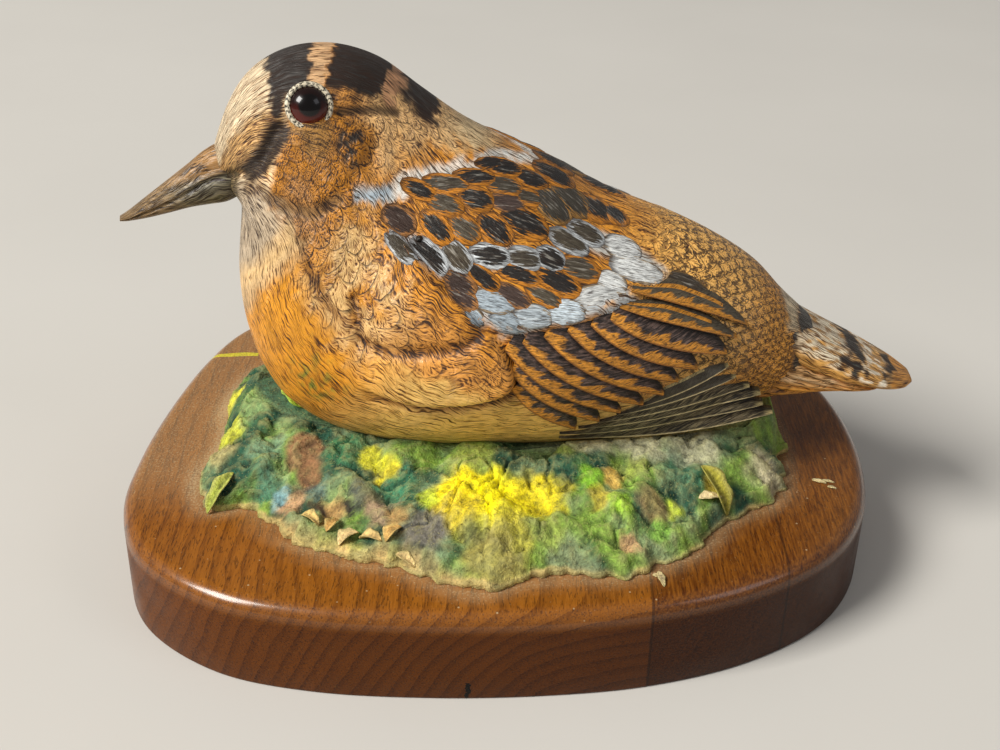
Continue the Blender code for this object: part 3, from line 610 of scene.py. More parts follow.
splinter_mesh = bpy.data.meshes.new("splinter")
splinter_mesh.from_pydata([(-1, 0, 0), (1, 0, 0.05), (0, -0.28, 0), (0, 0.28, 0), (0.1, 0, 0.35),
                           (0, 0, -0.3)], [],
                          [(0, 2, 4), (2, 1, 4), (1, 3, 4), (3, 0, 4), (2, 0, 5), (1, 2, 5), (3, 1, 5),
                           (0, 3, 5)])
splinter = bpy.data.objects.new("splinter", splinter_mesh)
strewn = bpy.data.objects.new("sawdust_start", ground.data.copy())
bpy.context.scene.collection.objects.link(strewn)
run_tree("sawdust", strewn, strewn_splinters(poster_paint),
         {"Splinter": splinter, "Per square metre": GRAINS, "Smallest": GRAIN_SMALL * MM,
          "Largest": GRAIN_LARGE * MM},
         "mossy_ground")

# %% [markdown]
# ## Leaf scraps and flakes
#
# Dry leaf scraps were pressed into the paste at its left end, beside the breast and under the
# wing's tip. The lip is torn into curled flakes at the front, and a few fell on the board. Every
# one is a thin closed leaf between two places, arched along its run and folded at its middle.

# %% Scraps
# Root and tip as x, y and height over what is below; width, fold, arch, colour
SCRAPS = [
    ((-74.5, -36, 0.6), (-80.7, -44.8, 0.5), 3.8, 0.7, 1.2, "A9B24A"),
    ((-58, -14, 0.6), (-64.5, -7.0, 3.4), 5.4, 0.4, 0.8, "A7D42C"),
    ((54.5, -34.5, 0.5), (61.5, -42.8, 0.6), 5.0, 0.9, 1.6, "A29A34"),
    ((53.0, -44.4, 0.6), (59.5, -41.5, 0.6), 3.0, 0.3, 0.5, "E2CC9A"),
    ((-53.5, -52.5, 0.4), (-48.6, -55.6, 0.6), 3.0, 0.9, 0.8, "D8B870"),
    ((-46.5, -57.5, 0.4), (-43.6, -53.5, 0.8), 2.8, 0.8, 0.7, "C9A05A"),
    ((-43.0, -60.5, 0.4), (-38.0, -57.5, 0.7), 3.4, 0.9, 0.9, "E0C48A"),
    ((-37.5, -59.0, 0.4), (-31.5, -62.0, 0.5), 3.4, 0.8, 0.8, "D9B876"),
    ((-30.5, -62.5, 0.4), (-26.5, -59.0, 0.8), 3.2, 0.9, 0.9, "CFA862"),
    ((-27.5, -65.0, 0.4), (-22.5, -68.5, 0.4), 2.8, 0.7, 0.6, "D8BC80"),
    ((88.8, -21.6, 0.3), (92.6, -23.4, 0.3), 1.3, 0.1, 0.2, "D2BE90"),
    ((91.5, -21.9, 0.3), (95.0, -23.0, 0.3), 0.9, 0.1, 0.2, "C8B488"),
    ((92.6, -25.0, 0.3), (95.0, -26.0, 0.3), 0.9, 0.1, 0.2, "D2BE90"),
    ((40.8, -66.0, 0.4), (41.8, -72.0, 0.3), 1.6, 0.2, 0.3, "C8B486"),
    ((39.2, -67.2, 0.3), (41.4, -68.4, 0.3), 1.2, 0.2, 0.2, "C8B486")]


def lying_at(x, y, over):
    """A place at a height over the ground, or over the board beside it."""
    below = ground_tree.ray_cast(Vector((x, y, 100.0)), Vector((0, 0, -1)))[0]
    return np.array((x, y, over + (BOARD_THICK if below is None else below.z)))


def scrap_points(root, tip, wide, fold, arch, rows=14, columns=7):
    """Rings of points round a thin folded leaf from its root to its tip."""
    root, tip = lying_at(*root), lying_at(*tip)
    side = np.cross(tip - root, (0, 0, 1))
    side /= np.linalg.norm(side)
    up = np.cross(side, tip - root)
    up /= np.linalg.norm(up)
    s, a = np.linspace(0, 1, rows)[:, None, None], np.linspace(-1, 1, columns)[None, :, None]
    half = wide / 2 * (0.1 + np.sin(math.pi * s ** 0.8) ** 0.7 * (1 + 0.15 * np.sin(13 * s + wide)))
    lift = arch * np.sin(math.pi * s) + fold * np.abs(a) * half
    top = root + (tip - root) * s + side * (a * half) + up * lift
    return np.concatenate([top, (top - up * 0.35)[:, ::-1]], axis=1)


ground_tree = BVHTree.FromPolygons([tuple(p) for p in ground_points],
                                   ring_faces(MOSS_CIRCLES + 1, MOSS_RAYS))
scrap_all, scrap_faces, scrap_colours = [], [], []
for *shape, code in SCRAPS:
    ring = scrap_points(*shape)
    scrap_faces += [tuple(k + len(scrap_all) for k in f) for f in ring_faces(*ring.shape[:2])]
    scrap_all += ring.reshape(-1, 3).tolist()
    scrap_colours += [linear(code)[:3]] * (ring.shape[0] * ring.shape[1])
scraps = new_piece("leaf_scraps", scrap_all, scrap_faces, poster_paint, "painted_moss", "mossy_ground")
keep(scraps, "paint", scrap_colours)
# %% [markdown]
# ## The bird's body
#
# The real body, head and neck are one piece of wood, whittled to shape before any feather was
# cut. It could be sculpted or made of blended balls. Here it is a skin of rings: each ring runs
# from a point on the crown or back to a point on the throat or belly, with three half widths,
# so two numbers, the ring along the body and the degrees down from the back, name any place.
# The same two numbers later place every feather, because feathers lie along the rings' run.

# %% The body's rings
HEAD_TURN, TURN_PIVOT_X = 12.0, -30.0
BODY_RINGS = np.array([  # top x, z; bottom x, z; half width above, at and below the middle
    (-79.3, 117.0, -74.0, 107.0, 3.5, 5.0, 3.8), (-77.9, 121.8, -73.2, 105.6, 6, 8, 6),
    (-74.3, 130.3, -72.6, 103.4, 9, 11.5, 8.5), (-69.3, 137.6, -72.8, 100.5, 11.5, 14.5, 11),
    (-62.5, 142.6, -73.2, 97.0, 13.5, 17, 14), (-54.0, 145.3, -73.6, 92.0, 14.5, 19, 17.5),
    (-44.0, 145.0, -73.8, 85.5, 15, 21, 22), (-34.0, 141.2, -73.4, 77.0, 15, 24.5, 27),
    (-23.5, 133.0, -71.9, 68.0, 17, 29.5, 31), (-12.5, 125.0, -69.0, 58.0, 21, 34.5, 33),
    (-1.0, 118.7, -63.0, 47.0, 26, 38.5, 33), (11.0, 112.8, -50.5, 37.5, 30, 41, 32),
    (22.5, 105.9, -33.0, 33.0, 32, 42, 31), (35.5, 99.9, -12.0, 33.0, 32, 41, 30),
    (48.5, 95.2, 12.0, 33.5, 29, 37, 28), (60.8, 89.4, 35.0, 35.0, 25, 31, 24),
    (71.0, 83.0, 55.0, 39.5, 20, 25, 19), (79.0, 75.0, 70.0, 45.0, 14, 18, 14),
    (87.0, 68.0, 82.0, 51.0, 9, 12, 9)])
SKIN_RINGS, SKIN_SIDES = 300, 260


def curve_rows(rows, u):
    """Read rows of numbers as a smooth curve, at places u counted in rows."""
    last = len(rows) - 1
    u = np.clip(u, 0.0, last - 1e-9)
    i = np.floor(u).astype(int)
    f = (u - i)[:, None]
    padded = np.vstack([2 * rows[0] - rows[1], rows, 2 * rows[-1] - rows[-2]])
    a, b, c, d = padded[i], padded[i + 1], padded[i + 2], padded[i + 3]
    return 0.5 * (2 * b + (c - a) * f + (2 * a - 5 * b + 4 * c - d) * f ** 2
                  + (3 * b - a - 3 * c + d) * f ** 3)


def whittled_body(rings, sides):
    """The smooth straight body, as rings of points round it."""
    rows = curve_rows(BODY_RINGS, np.linspace(0, len(BODY_RINGS) - 1, rings))
    angle = np.linspace(0, 2 * math.pi, sides, endpoint=False)
    above, middle, below = rows[:, 4:5], rows[:, 5:6], rows[:, 6:7]
    pear = (above - below) / 2
    mean = (above + below) / 2 / math.sqrt(0.5)
    down = (1 - np.cos(angle)) / 2
    points = np.zeros((rings, sides, 3))
    points[:, :, 0] = rows[:, 0:1] * (1 - down) + rows[:, 2:3] * down
    points[:, :, 2] = rows[:, 1:2] * (1 - down) + rows[:, 3:4] * down
    points[:, :, 1] = -((mean + middle) / 2 * np.sin(angle) + pear * np.sin(2 * angle)
                        + (mean - middle) / 2 * np.sin(3 * angle))
    return points


def outward(points):
    """Outward directions of a grid of rings."""
    normal = np.cross(np.gradient(points, axis=0), np.roll(points, -1, 1) - np.roll(points, 1, 1))
    normal /= np.linalg.norm(normal, axis=2, keepdims=True) + 1e-9
    away = points - points.mean(axis=1, keepdims=True)
    return normal * np.sign((normal * away).sum(axis=2, keepdims=True))


def turn_head(points, whole=False):
    """Turn the head towards the bird's left, easing off down the neck."""
    flat = np.asarray(points, float).reshape(-1, 3).copy()
    weight = smooth(86, 106, flat[:, 2]) * (1 - smooth(-42, -15, flat[:, 0]))
    angle = math.radians(HEAD_TURN) * (np.ones(len(flat)) if whole else weight)
    dx, dy = flat[:, 0] - TURN_PIVOT_X, flat[:, 1].copy()
    flat[:, 0] = TURN_PIVOT_X + dx * np.cos(angle) - dy * np.sin(angle)
    flat[:, 1] = dx * np.sin(angle) + dy * np.cos(angle)
    return flat.reshape(np.shape(points))


body_rings = whittled_body(SKIN_RINGS, SKIN_SIDES)
print("body from", body_rings.reshape(-1, 3).min(0).round(1), "to",
      body_rings.reshape(-1, 3).max(0).round(1))

# %% [markdown]
# ## The large carving
#
# Before the feathers, the maker cut the main steps: the flank's soft pad over the front of the
# wing, the edge of the wing coverts over the flight feathers, the cheek, the groove of the lore
# from the eye to the mouth and the groove behind the eye. Each is a height over the smooth body,
# worked out from the distance to a line drawn on the bird.

# %% Heights of the large carving
FLANK_LIFT, COVERT_LIFT, CHEEK_LIFT, LORE_DEPTH, BROW_DEPTH = 3.7, 1.8, 1.2, 2.0, 0.8
LORE_LINE = [(-60, 17.2, 130.5), (-62.5, 17, 129), (-65, 17.1, 124.8), (-68, 16.3, 120.3),
             (-72, 13.5, 116.6), (-77, 7, 113.6)]
BROW_LINE = [(-46.5, 16, 133.2), (-41.5, 15, 133), (-35.8, 13.8, 132.2), (-30.5, 12.3, 131)]
CHEEK_EDGE = [(-72, 13.5, 113.5), (-68.2, 16.6, 113.8), (-61, 22, 110.2), (-55, 23.9, 109.4),
              (-49, 23.5, 112.6), (-44.8, 21.8, 116.7), (-41.5, 20.2, 120.5), (-38, 18.5, 124)]
CHEEK_CENTRE = (-53.0, 20.5, 121.5)
FLANK_RIM = [(-40, 109), (-30, 103.5), (-22, 98.5), (-14.4, 92.9), (-6.8, 86.1), (-1.2, 80),
             (2.6, 73), (2.0, 66.5), (-6.6, 62.6), (-20, 60.8), (-33, 62.5), (-44, 66)]
PAD_CREASE = [(-40, 89), (-38.2, 84), (-37.4, 78.5), (-31, 76.8), (-24, 76.8), (-16, 78.3), (-9.5, 80),
              (-6, 84)]
BREAST_CREASE = [(-57, 103), (-55, 97.3), (-50.4, 91.9), (-44, 85.4), (-38, 78.5)]
COVERT_RIM = [(24, 107), (34, 100), (45, 95), (42, 91), (31.2, 87.9), (21.2, 85.2),
              (13.5, 83.6), (-0.6, 82.8), (-8, 85.3), (-20, 92)]


def inside_depth(points, rim):
    """Distance to a rim seen from the side, positive on the rim's right hand."""
    rim = closed_or_open(rim)
    best = np.full(len(points), 1e9)
    sign = np.ones(len(points))
    for start, end in zip(rim[:-1], rim[1:]):
        along = end - start
        across = np.array([along[1], -along[0]]) / np.linalg.norm(along)
        t = np.clip((points - start) @ along / (along @ along), 0.0, 1.0)
        gap = np.linalg.norm(points - start - t[:, None] * along, axis=1)
        side = np.where((points - start) @ across >= 0, 1.0, -1.0)
        nearer = gap < best - 1e-6
        best, sign = np.where(nearer, gap, best), np.where(nearer, side, sign)
    return best * sign


def closed_or_open(rim):
    """The rim as a finely stepped smooth curve through its corners."""
    rim = np.array(rim, float)
    return curve_rows(rim, np.linspace(0, len(rim) - 1, 4 * len(rim)))


def large_carving(points):
    """Height of the large carving over the smooth straight body."""
    side = points[:, [0, 2]]
    mirrored = np.column_stack([points[:, 0], np.abs(points[:, 1]), points[:, 2]])
    depth = inside_depth(side, FLANK_RIM)
    flank = FLANK_LIFT * smooth(-0.3, 2.2, depth) * (1 - smooth(6, 34, depth)) * smooth(-44, -24,
                                                                                        points[:, 0])
    level_place = np.column_stack([side, np.zeros(len(side))])
    crease = np.exp(-(distance_to_line(level_place, [(x, z, 0) for x, z in PAD_CREASE]) / 1.7) ** 2)
    flank -= 1.5 * crease * smooth(-46, -40, points[:, 0])
    crease = np.exp(-(distance_to_line(level_place, [(x, z, 0) for x, z in BREAST_CREASE]) / 1.5) ** 2)
    flank -= 0.6 * crease
    groove = np.exp(-((depth + 1.2) / 1.5) ** 2) * smooth(-40, -30, points[:, 0])
    flank -= 1.5 * groove * smooth(80, 74, side[:, 1])
    depth = inside_depth(side, COVERT_RIM)
    coverts = COVERT_LIFT * smooth(-0.6, 1.2, depth) * smooth(-30, -12, points[:, 0])
    coverts *= 1 - smooth(86, 95, points[:, 2])
    from_cheek = np.linalg.norm(mirrored - CHEEK_CENTRE, axis=1)
    edge = distance_to_line(mirrored, CHEEK_EDGE)
    reach = np.linalg.norm(np.array(CHEEK_EDGE[3]) - CHEEK_CENTRE)
    cheek = CHEEK_LIFT * (1 - smooth(0.75 * reach, 1.15 * reach, from_cheek))
    cheek -= 0.9 * np.exp(-(edge / 2.0) ** 2) * smooth(-78, -70, points[:, 0])
    lore = -LORE_DEPTH * np.exp(-(distance_to_line(mirrored, LORE_LINE) / 2.4) ** 2)
    brow = -BROW_DEPTH * np.exp(-(distance_to_line(mirrored, BROW_LINE) / 1.6) ** 2)
    carving = np.where(coverts > 0.05, np.maximum(flank, coverts), flank) + cheek + lore + brow
    return carving * smooth(2.0, 8.0, mirrored[:, 1])


straight = body_rings.reshape(-1, 3)
carving = large_carving(straight).reshape(SKIN_RINGS, SKIN_SIDES, 1)
carved = body_rings + outward(body_rings) * carving
skin_grid = turn_head(carved)
skin_normal = outward(skin_grid)
print("deepest and highest carving", float(carving.min().round(2)), float(carving.max().round(2)))

# %% The skin piece
skin = new_piece("bird_skin", skin_grid.reshape(-1, 3), ring_faces(SKIN_RINGS, SKIN_SIDES), None,
                 "painted_wood", "bird")
# %% [markdown]
# ## Where each paint goes
#
# The maker blocked in the colours before picking out the feathers: orange-brown all over, a
# black crown with two buff bars, a pink-buff forehead, a black lore, a pale throat, a silver
# stripe over the wing. Each zone is one line here: a mask, a light and a dark colour, the share
# of the dark one, and how clear the feather edges and the dark curly marks are. The zones work
# in ring numbers and degrees down from the back, and noise pushes their edges about, as a brush
# would leave them. The skin's points keep the mix, so the finish can read it.

# %% Paint colours
ORANGE, BURNT_AND_SHADE, BLACK, OLIVE_GREY, MAUVE = "D08420", "2C1708", "1E1B19", "50483A", "4A3932"
# Lines painted on the straight bird: x, y, z of the left side's mirror image
PALE_COVERTS = [(-8.2, 38.1, 89.2), (-1.9, 39.4, 85.7), (6.8, 38.9, 85.8), (14.3, 37.5, 87.0),
                (23.3, 34.9, 88.5),
                (30.0, 32.4, 88.9)]
WHITE_TIPS = [(23.0, 21.1, 100.5), (30.9, 20.9, 97.3), (37.7, 24.1, 93.0)]
SNOWY_LINE = [(-33.9, 29.5, 104.3), (-26.1, 30.7, 100.5), (-18.3, 32.8, 98.6), (-9.7, 33.3, 98.4),
              (-2.6, 32.0, 100.0),
              (7.7, 31.2, 98.6), (13.8, 30.1, 97.6)]
SILVER_STRIPE = [(-42.0, 25.4, 115.2), (-34.8, 24.5, 113.9), (-28.8, 21.8, 115.7), (-20.8, 19.4, 117.0),
                 (-13.1, 16.2, 118.2), (-3.3, 8.9, 118.3), (7.1, 1.1, 114.8)]


def noise_at(points, size, seed, octaves=2):
    """Noise with features of a size in millimetres, one value for each place."""
    shift = Vector((seed * 13.1, seed * 7.7, seed * 3.3))
    return np.array([sum(noise.noise((Vector(p) / size + shift) * 2 ** k) / 2 ** k for k in range(octaves))
                     for p in points])


def band(value, low, high, soft):
    """1 between low and high, with soft edges."""
    return smooth(low - soft, low + soft, value) * (1 - smooth(high - soft, high + soft, value))


def near_line(points, line, width):
    """1 on a line drawn on the straight bird, 0 beyond the width."""
    mirrored = np.column_stack([points[:, 0], np.abs(points[:, 1]), points[:, 2]])
    return 1 - smooth(0.6 * width, 1.3 * width, distance_to_line(mirrored, line))


def brushed(zones, count):
    """Brush zones over one another: each is a mask, a light and a dark colour, and strengths."""
    mix = np.zeros((count, 9))
    for mask, light, dark, *strengths in zones:
        part = np.broadcast_to(np.clip(mask, 0, 1), count)[:, None]
        mix = mix * (1 - part) + np.array([*rgb(light), *rgb(dark), *strengths]) * part
    return mix


def keep_coat(piece, run, row, mix, girth):
    """Store what the skin's finish reads at each point: strokes, rows, colours, strengths."""
    for name, values in (("run", run), ("row", row), ("light", mix[:, :3]), ("dark", mix[:, 3:6]),
                         ("cut", mix[:, 6:]), ("girth", girth)):
        keep(piece, name, values)


def paint_zones(ring, degrees, points):
    """Light colour, dark colour, and share, edge and mark strengths at places on the bird."""
    side = np.abs(degrees)
    coarse, fine = noise_at(points, 9.0, 1), noise_at(points, 2.4, 2)
    u = ring + 0.16 * coarse + 0.16 * fine
    d = side + 6.0 * coarse + 5.0 * fine
    throat = (1 - smooth(6.6, 7.6, u)) * smooth(99, 108, d)
    top = 1 - smooth(36, 44, d + 12.0 * smooth(6.6, 8.4, u))
    front = (1 - smooth(40, 50, d)) * (1 - smooth(5.15, 5.25, u))
    pushed = points + np.column_stack([2.0 * fine, 0 * fine, 2.2 * coarse + 2.2 * fine])
    stripe = near_line(pushed, SILVER_STRIPE, 2.9)
    blue_start = near_line(pushed, [(-43.0, 25.4, 114.4), (-36.0, 24.4, 114.6)], 2.6)
    shoulder = smooth(7.7, 8.7, u - 1.6 * (1 - smooth(8, 50, d))) * (1 - smooth(13.1, 14.1, u))
    shoulder *= 1 - smooth(72, 80, d)
    buff = band(u, 7.2, 10.2, 0.6) * band(d, 74, 104, 8)
    rim_depth = inside_depth(points[:, [0, 2]], FLANK_RIM)
    seen_side = points * (1, 0, 1)
    painted_crease_shade = [near_line(seen_side, [(x, 0, z) for x, z in line], 1.1)
               for line in (PAD_CREASE, BREAST_CREASE)]
    painted_shade_under_pad = band(rim_depth, -2.4, 0.3, 0.7) * smooth(-40, -30, points[:, 0]) * smooth(82, 74,
                                                                                          points[:, 2])
    zones = [  # mask, light, dark, share of the dark, feather edges, dark marks
        (1.0, "E8A048", "744414", 0.45, 0.55, 0.2),
        (band(u, 6.4, 11.0, 0.8) * smooth(92, 112, d), "EFA228", "98580C", 0.38, 0.12, 0.05),
        (smooth(10.0, 11.5, u) * smooth(88, 102, d), "FFD078", "A8701E", 0.36, 0.1, 0.12),
        (buff, "F0C480", "945E2C", 0.42, 0.8, 0.25),
        (buff * smooth(0.0, 0.4, coarse), "E09830", "84480F", 0.42, 0.9, 0.3),
        (band(u, 6.9, 10.4, 0.4) * (1 - smooth(50, 70, d)), "F0C080", "8A6440", 0.44, 0.8, 0.3),
        (band(u, 8.8, 12.5, 0.5) * (1 - smooth(14, 26, d)), "ECD0A0", "866438", 0.42, 0.4, 0.3),
        (shoulder, "F0A030", "7A440C", 0.48, 0.1, 0.25),
        (smooth(12.4, 14.0, u) * (1 - smooth(80, 96, d)), "FFC468", "94581C", 0.38, 0.95, 0.9),
        (smooth(15.2, 16.6, u), "F0A840", "743F0C", 0.44, 0.85, 0.8),
        # Painted shade: the groove under the flank pad's lower edge and the creases of the pad and breast
        # are darkened.
        (painted_shade_under_pad * 0.8, "9C5C18", "3A1E08", 0.6, 0.0, 0.0),
        (np.maximum(painted_crease_shade[0], 0.7 * painted_crease_shade[1]) * (0.5 + 0.5 * smooth(-0.2, 0.2, fine)), "8A5418",
         "3A1E08", 0.6, 0.0, 0.0),
        (1 - smooth(4.7, 5.2, u), "FFE8C0", "A87444", 0.42, 0.0, 0.12),
        ((1 - smooth(4.4, 5.0, u)) * band(d, 50, 95, 8), "EEBC78", "845024", 0.46, 0.0, 0.3),
        (band(u, 4.9, 7.6, 0.3) * band(d, 52, 106, 5), "D48A1E", "5E3202", 0.44, 0.9, 0.2),
        (band(u, 5.6, 7.3, 0.4) * band(d, 88, 106, 4), "CE904A", "6A4218", 0.48, 0.7, 0.2),
        (band(u, 4.9, 6.4, 0.3) * band(d, 60, 74, 4), "C08C44", "5A3C18", 0.50, 0.4, 0.3),
        (throat, "CCB698", "6E5840", 0.46, 0.0, 0.1),
        (throat * smooth(5.6, 6.6, u), "F0C88C", "B08450", 0.40, 0.0, 0.1),
        (front * smooth(3.8, 3.95, u), "4A4440", BLACK, 0.62, 0.0, 0.0),
        (band(u, 5.18, 5.7, 0.05) * (1 - smooth(34, 50, d)), "EBBE8C", "8A5C34", 0.42, 0.0, 0.0),
        (band(u, 5.75, 7.25, 0.06) * top, "433D38", BLACK, 0.74, 0.0, 0.0),
        (band(u, 7.25, 7.62, 0.05) * top, "D9A276", "7C5436", 0.45, 0.0, 0.0),
        (band(u, 7.62, 8.45, 0.08) * (1 - smooth(18, 31, d)), "433D38", BLACK, 0.74, 0.0, 0.0),
        (near_line(points, LORE_LINE[1:5], 3.0), "5E4A34", BLACK, 0.66, 0.0, 0.0),
        (near_line(points, [(-62, 13.5, 139), (-62.6, 15.8, 134)], 1.5), "4A3E32", BLACK, 0.7, 0.0, 0.0),
        ((1 - smooth(0.9, 2.4, u + 0.6 * fine)) * band(d, 74, 150, 8), "8A7650", "2C2618", 0.55, 0.0, 0.0),
        # Painted shade: the groove behind the eye is darkened.
        (near_line(points, BROW_LINE, 1.3) * 0.8, "4A3A28", BLACK, 0.6, 0.0, 0.0),
        (band(u, 6.6, 7.3, 0.15) * band(d, 56, 68, 4) * smooth(-0.12, 0.08, fine), "4E463C", BLACK, 0.58,
         0.4, 0.2),
        (near_line(points, [(-51.5, 24.3, 118.2), (-47, 23.2, 120.6)], 1.4), "3A342E", BLACK, 0.7, 0.0,
         0.0),
        # Painted shade: the groove along the cheek's lower edge, where the head overlaps the neck, is
        # darkened.
        (near_line(points, CHEEK_EDGE[:5], 2.0) * 0.7, "9A7A52", "4A3420", 0.55, 0.0, 0.2),
        (near_line(pushed, PALE_COVERTS, 3.4), "C2C8CA", "7A5A38", 0.46, 0.2, 0.1),
        (near_line(pushed, WHITE_TIPS, 4.2), "D2D2CC", "7A5A38", 0.44, 0.2, 0.1),
        (near_line(pushed, SNOWY_LINE, 2.6) * 0.9, "C8CCCE", "5C4A36", 0.46, 0.0, 0.1),
        (stripe * (0.75 + 0.25 * smooth(-0.2, 0.1, fine)), "F2F2EC", "8E8270", 0.40, 0.15, 0.0),
        (blue_start, "C2D2DE", "6A6A64", 0.45, 0.0, 0.0),
        (band(u, 16.9, 17.5, 0.15) * (1 - smooth(34, 48, d)) * 0.85, "E6D6B4", "75654E", 0.42, 0.0, 0.3),
        (smooth(17.45, 17.6, u), "6E6A60", "1E1C18", 0.6, 0.0, 0.0),
        (band(u, 9.3, 10.4, 0.3) * band(d, 118, 131, 5) * smooth(-0.1, 0.4, fine), "9A9A3A", "5A6A24", 0.4,
         0.0, 0.0)]
    return brushed(zones, len(points))


# %% Places on the skin
skin_flow = np.gradient(skin_grid, axis=0)


def on_skin(ring, degrees):
    """Place, outward and feather direction on the bird for ring numbers and degrees."""
    a = np.clip(np.asarray(ring, float) / (len(BODY_RINGS) - 1), 0, 1) * (SKIN_RINGS - 1)
    b = (np.asarray(degrees, float) % 360) / 360 * SKIN_SIDES
    i, j = np.minimum(a.astype(int), SKIN_RINGS - 2), np.floor(b).astype(int) % SKIN_SIDES
    k = (j + 1) % SKIN_SIDES
    f, g = (a - i)[:, None], (b - np.floor(b))[:, None]
    return [(1 - f) * ((1 - g) * m[i, j] + g * m[i, k]) + f * ((1 - g) * m[i + 1, j] + g * m[i + 1, k])
            for m in (skin_grid, skin_normal, skin_flow)]


# %% [markdown]
# ## Feather rows on the skin
#
# Feathers lie in rows like roof tiles, small on the head and large on the breast. Two numbers
# kept on each point of the skin say which row and column it is in: there are always as many
# columns round the bird, so feathers grow and shrink with it, and a row is as long as a feather
# is wide. Two more give millimetres along and across the feathers, for the strokes.

# %% Rows, columns and strokes
COLUMNS, ROW_LENGTH = 22, 0.86
ring_of = np.repeat(np.linspace(0, len(BODY_RINGS) - 1, SKIN_RINGS), SKIN_SIDES)
degrees_of = np.tile(np.linspace(0, 360, SKIN_SIDES, endpoint=False), SKIN_RINGS)
degrees_of = np.where(degrees_of > 180, degrees_of - 360, degrees_of)
half_girth = np.linalg.norm(skin_grid - np.roll(skin_grid, 1, 1), axis=2).sum(axis=1) / 2
along_step = np.linalg.norm(np.diff(skin_grid, axis=0, prepend=skin_grid[:1]), axis=2)
side_column = SKIN_SIDES * 80 // 360
rows_along = np.cumsum(along_step[:, side_column] / (ROW_LENGTH * half_girth / COLUMNS))
share_round = np.abs(degrees_of).reshape(SKIN_RINGS, SKIN_SIDES) / 180
side_shift = 0.35 * carved[:, :, 1]
mean_girth = float(half_girth[60:240].mean())
run = np.stack([share_round * mean_girth, np.cumsum(along_step, axis=0), side_shift], axis=2)
row = np.stack([share_round * COLUMNS, np.broadcast_to(rows_along[:, None], share_round.shape), side_shift],
               axis=2)
keep_coat(skin, run, row, paint_zones(ring_of, degrees_of, carved.reshape(-1, 3)),
          np.repeat(smooth(70, 115, half_girth), SKIN_SIDES))
print("feather rows", round(float(rows_along[-1])), "columns", 2 * COLUMNS, "half girth", round(mean_girth),
      "mm")
# %% [markdown]
# ## Oil paint over burnt feathers
#
# Basswood or cedar was carved, every barb was burnt in with a hot pen, and thinned matt oil paint
# went over it, so colour stays darkest in the burnt lines and the crests are rubbed light. The
# finish first bends the rows and strokes a little, as a hand would. Then it finds the feather
# that each place is in: the one in the row before, where its round tip reaches this far, or
# else the one in its own row. Barbs fan out from the shaft of that feather, and longer strokes
# run along the coat where there are no clear feathers. Real barbs are burnt 0.3 mm apart; here
# they are about 0.8 mm apart, so that they show. Dried oil paint has an index near 1.5.

# %% Skin finish
TIP = 0.8
skin_paint, tree, shader = new_material("oil_paint_over_burnt_wood")
run = add(tree, "Attribute", attribute_name="run")
row = add(tree, "Attribute", attribute_name="row")
light = add(tree, "Attribute", attribute_name="light")
dark = add(tree, "Attribute", attribute_name="dark")
cut = add(tree, "Attribute", attribute_name="cut")
girth = add(tree, "Attribute", attribute_name="girth")
strength = add(tree, "SeparateXYZ", cut.outputs["Vector"])
wander = add(tree, "TexNoise", {0: run.outputs["Vector"], "Scale": 0.09, "Detail": 2.5})
sway = add(tree, "VectorMath SUBTRACT", wander.outputs["Color"], (0.5, 0.5, 0.5))
bent_run = add(tree, "VectorMath MULTIPLY_ADD", sway, (7.0, 6.0, 0.0), run.outputs["Vector"])
bent_row = add(tree, "VectorMath MULTIPLY_ADD", sway, (1.3, 1.3, 0.0), row.outputs["Vector"])
at = add(tree, "SeparateXYZ", bent_row)
number = add(tree, "Math FLOOR", at.outputs["Y"])
down_row = add(tree, "Math FRACT", at.outputs["Y"])
odd = add(tree, "Math MODULO", number, 2.0)
shift = add(tree, "Math MULTIPLY_ADD", odd, 0.5, at.outputs["X"])
reaches, acrosses = [], []
for step in (0.0, 0.5):
    moved = add(tree, "Math ADD", shift, step)
    part = add(tree, "Math FRACT", moved)
    across = add(tree, "Math SUBTRACT", part, 0.5)
    square = add(tree, "Math MULTIPLY", across, across)
    round_tip = add(tree, "Math MULTIPLY_ADD", square, -4.0, 1.0)
    root = add(tree, "Math POWER", round_tip, 0.5)
    reaches.append(add(tree, "Math MULTIPLY", root, TIP))
    acrosses.append(add(tree, "Math ABSOLUTE", across))
to_upper_tip = add(tree, "Math SUBTRACT", reaches[1], down_row)
to_own_tip = add(tree, "Math SUBTRACT", reaches[0], down_row)
to_own_tip = add(tree, "Math ADD", to_own_tip, 1.0)
in_upper = add(tree, "Math GREATER_THAN", to_upper_tip, 0.0)
to_tip = add(tree, "Mix", {0: in_upper, 2: to_own_tip, 3: to_upper_tip})
across = add(tree, "Mix", {0: in_upper, 2: acrosses[0], 3: acrosses[1]})
fan = add(tree, "Math MULTIPLY_ADD", to_tip, 0.4, across)
which = add(tree, "Math SUBTRACT", number, in_upper)
barb_place = add(tree, "CombineXYZ", fan, to_tip, which)
barb_place = add(tree, "VectorMath MULTIPLY", barb_place, (1.0, 0.11, 0.5))
fineness = add(tree, "MapRange", {0: girth.outputs["Fac"], 3: 9.0, 4: 18.0})
barb_place = add(tree, "VectorMath SCALE", {0: barb_place, 3: fineness})
barbs = add(tree, "TexNoise", {0: barb_place, "Scale": 1.0, "Detail": 2.5})
two_sizes = []
for spacing in ((2.2, 0.2, 1.0), (3.4, 0.17, 1.0)):
    drawn = add(tree, "VectorMath MULTIPLY", bent_run, spacing)
    two_sizes.append(add(tree, "TexNoise", {0: drawn, "Scale": 1.0, "Detail": 2.5, "Roughness": 0.55}))
strokes = add(tree, "Mix", {0: girth.outputs["Fac"], 2: two_sizes[0], 3: two_sizes[1]})
blend = add(tree, "Math MULTIPLY", strength.outputs["Y"], 0.75)
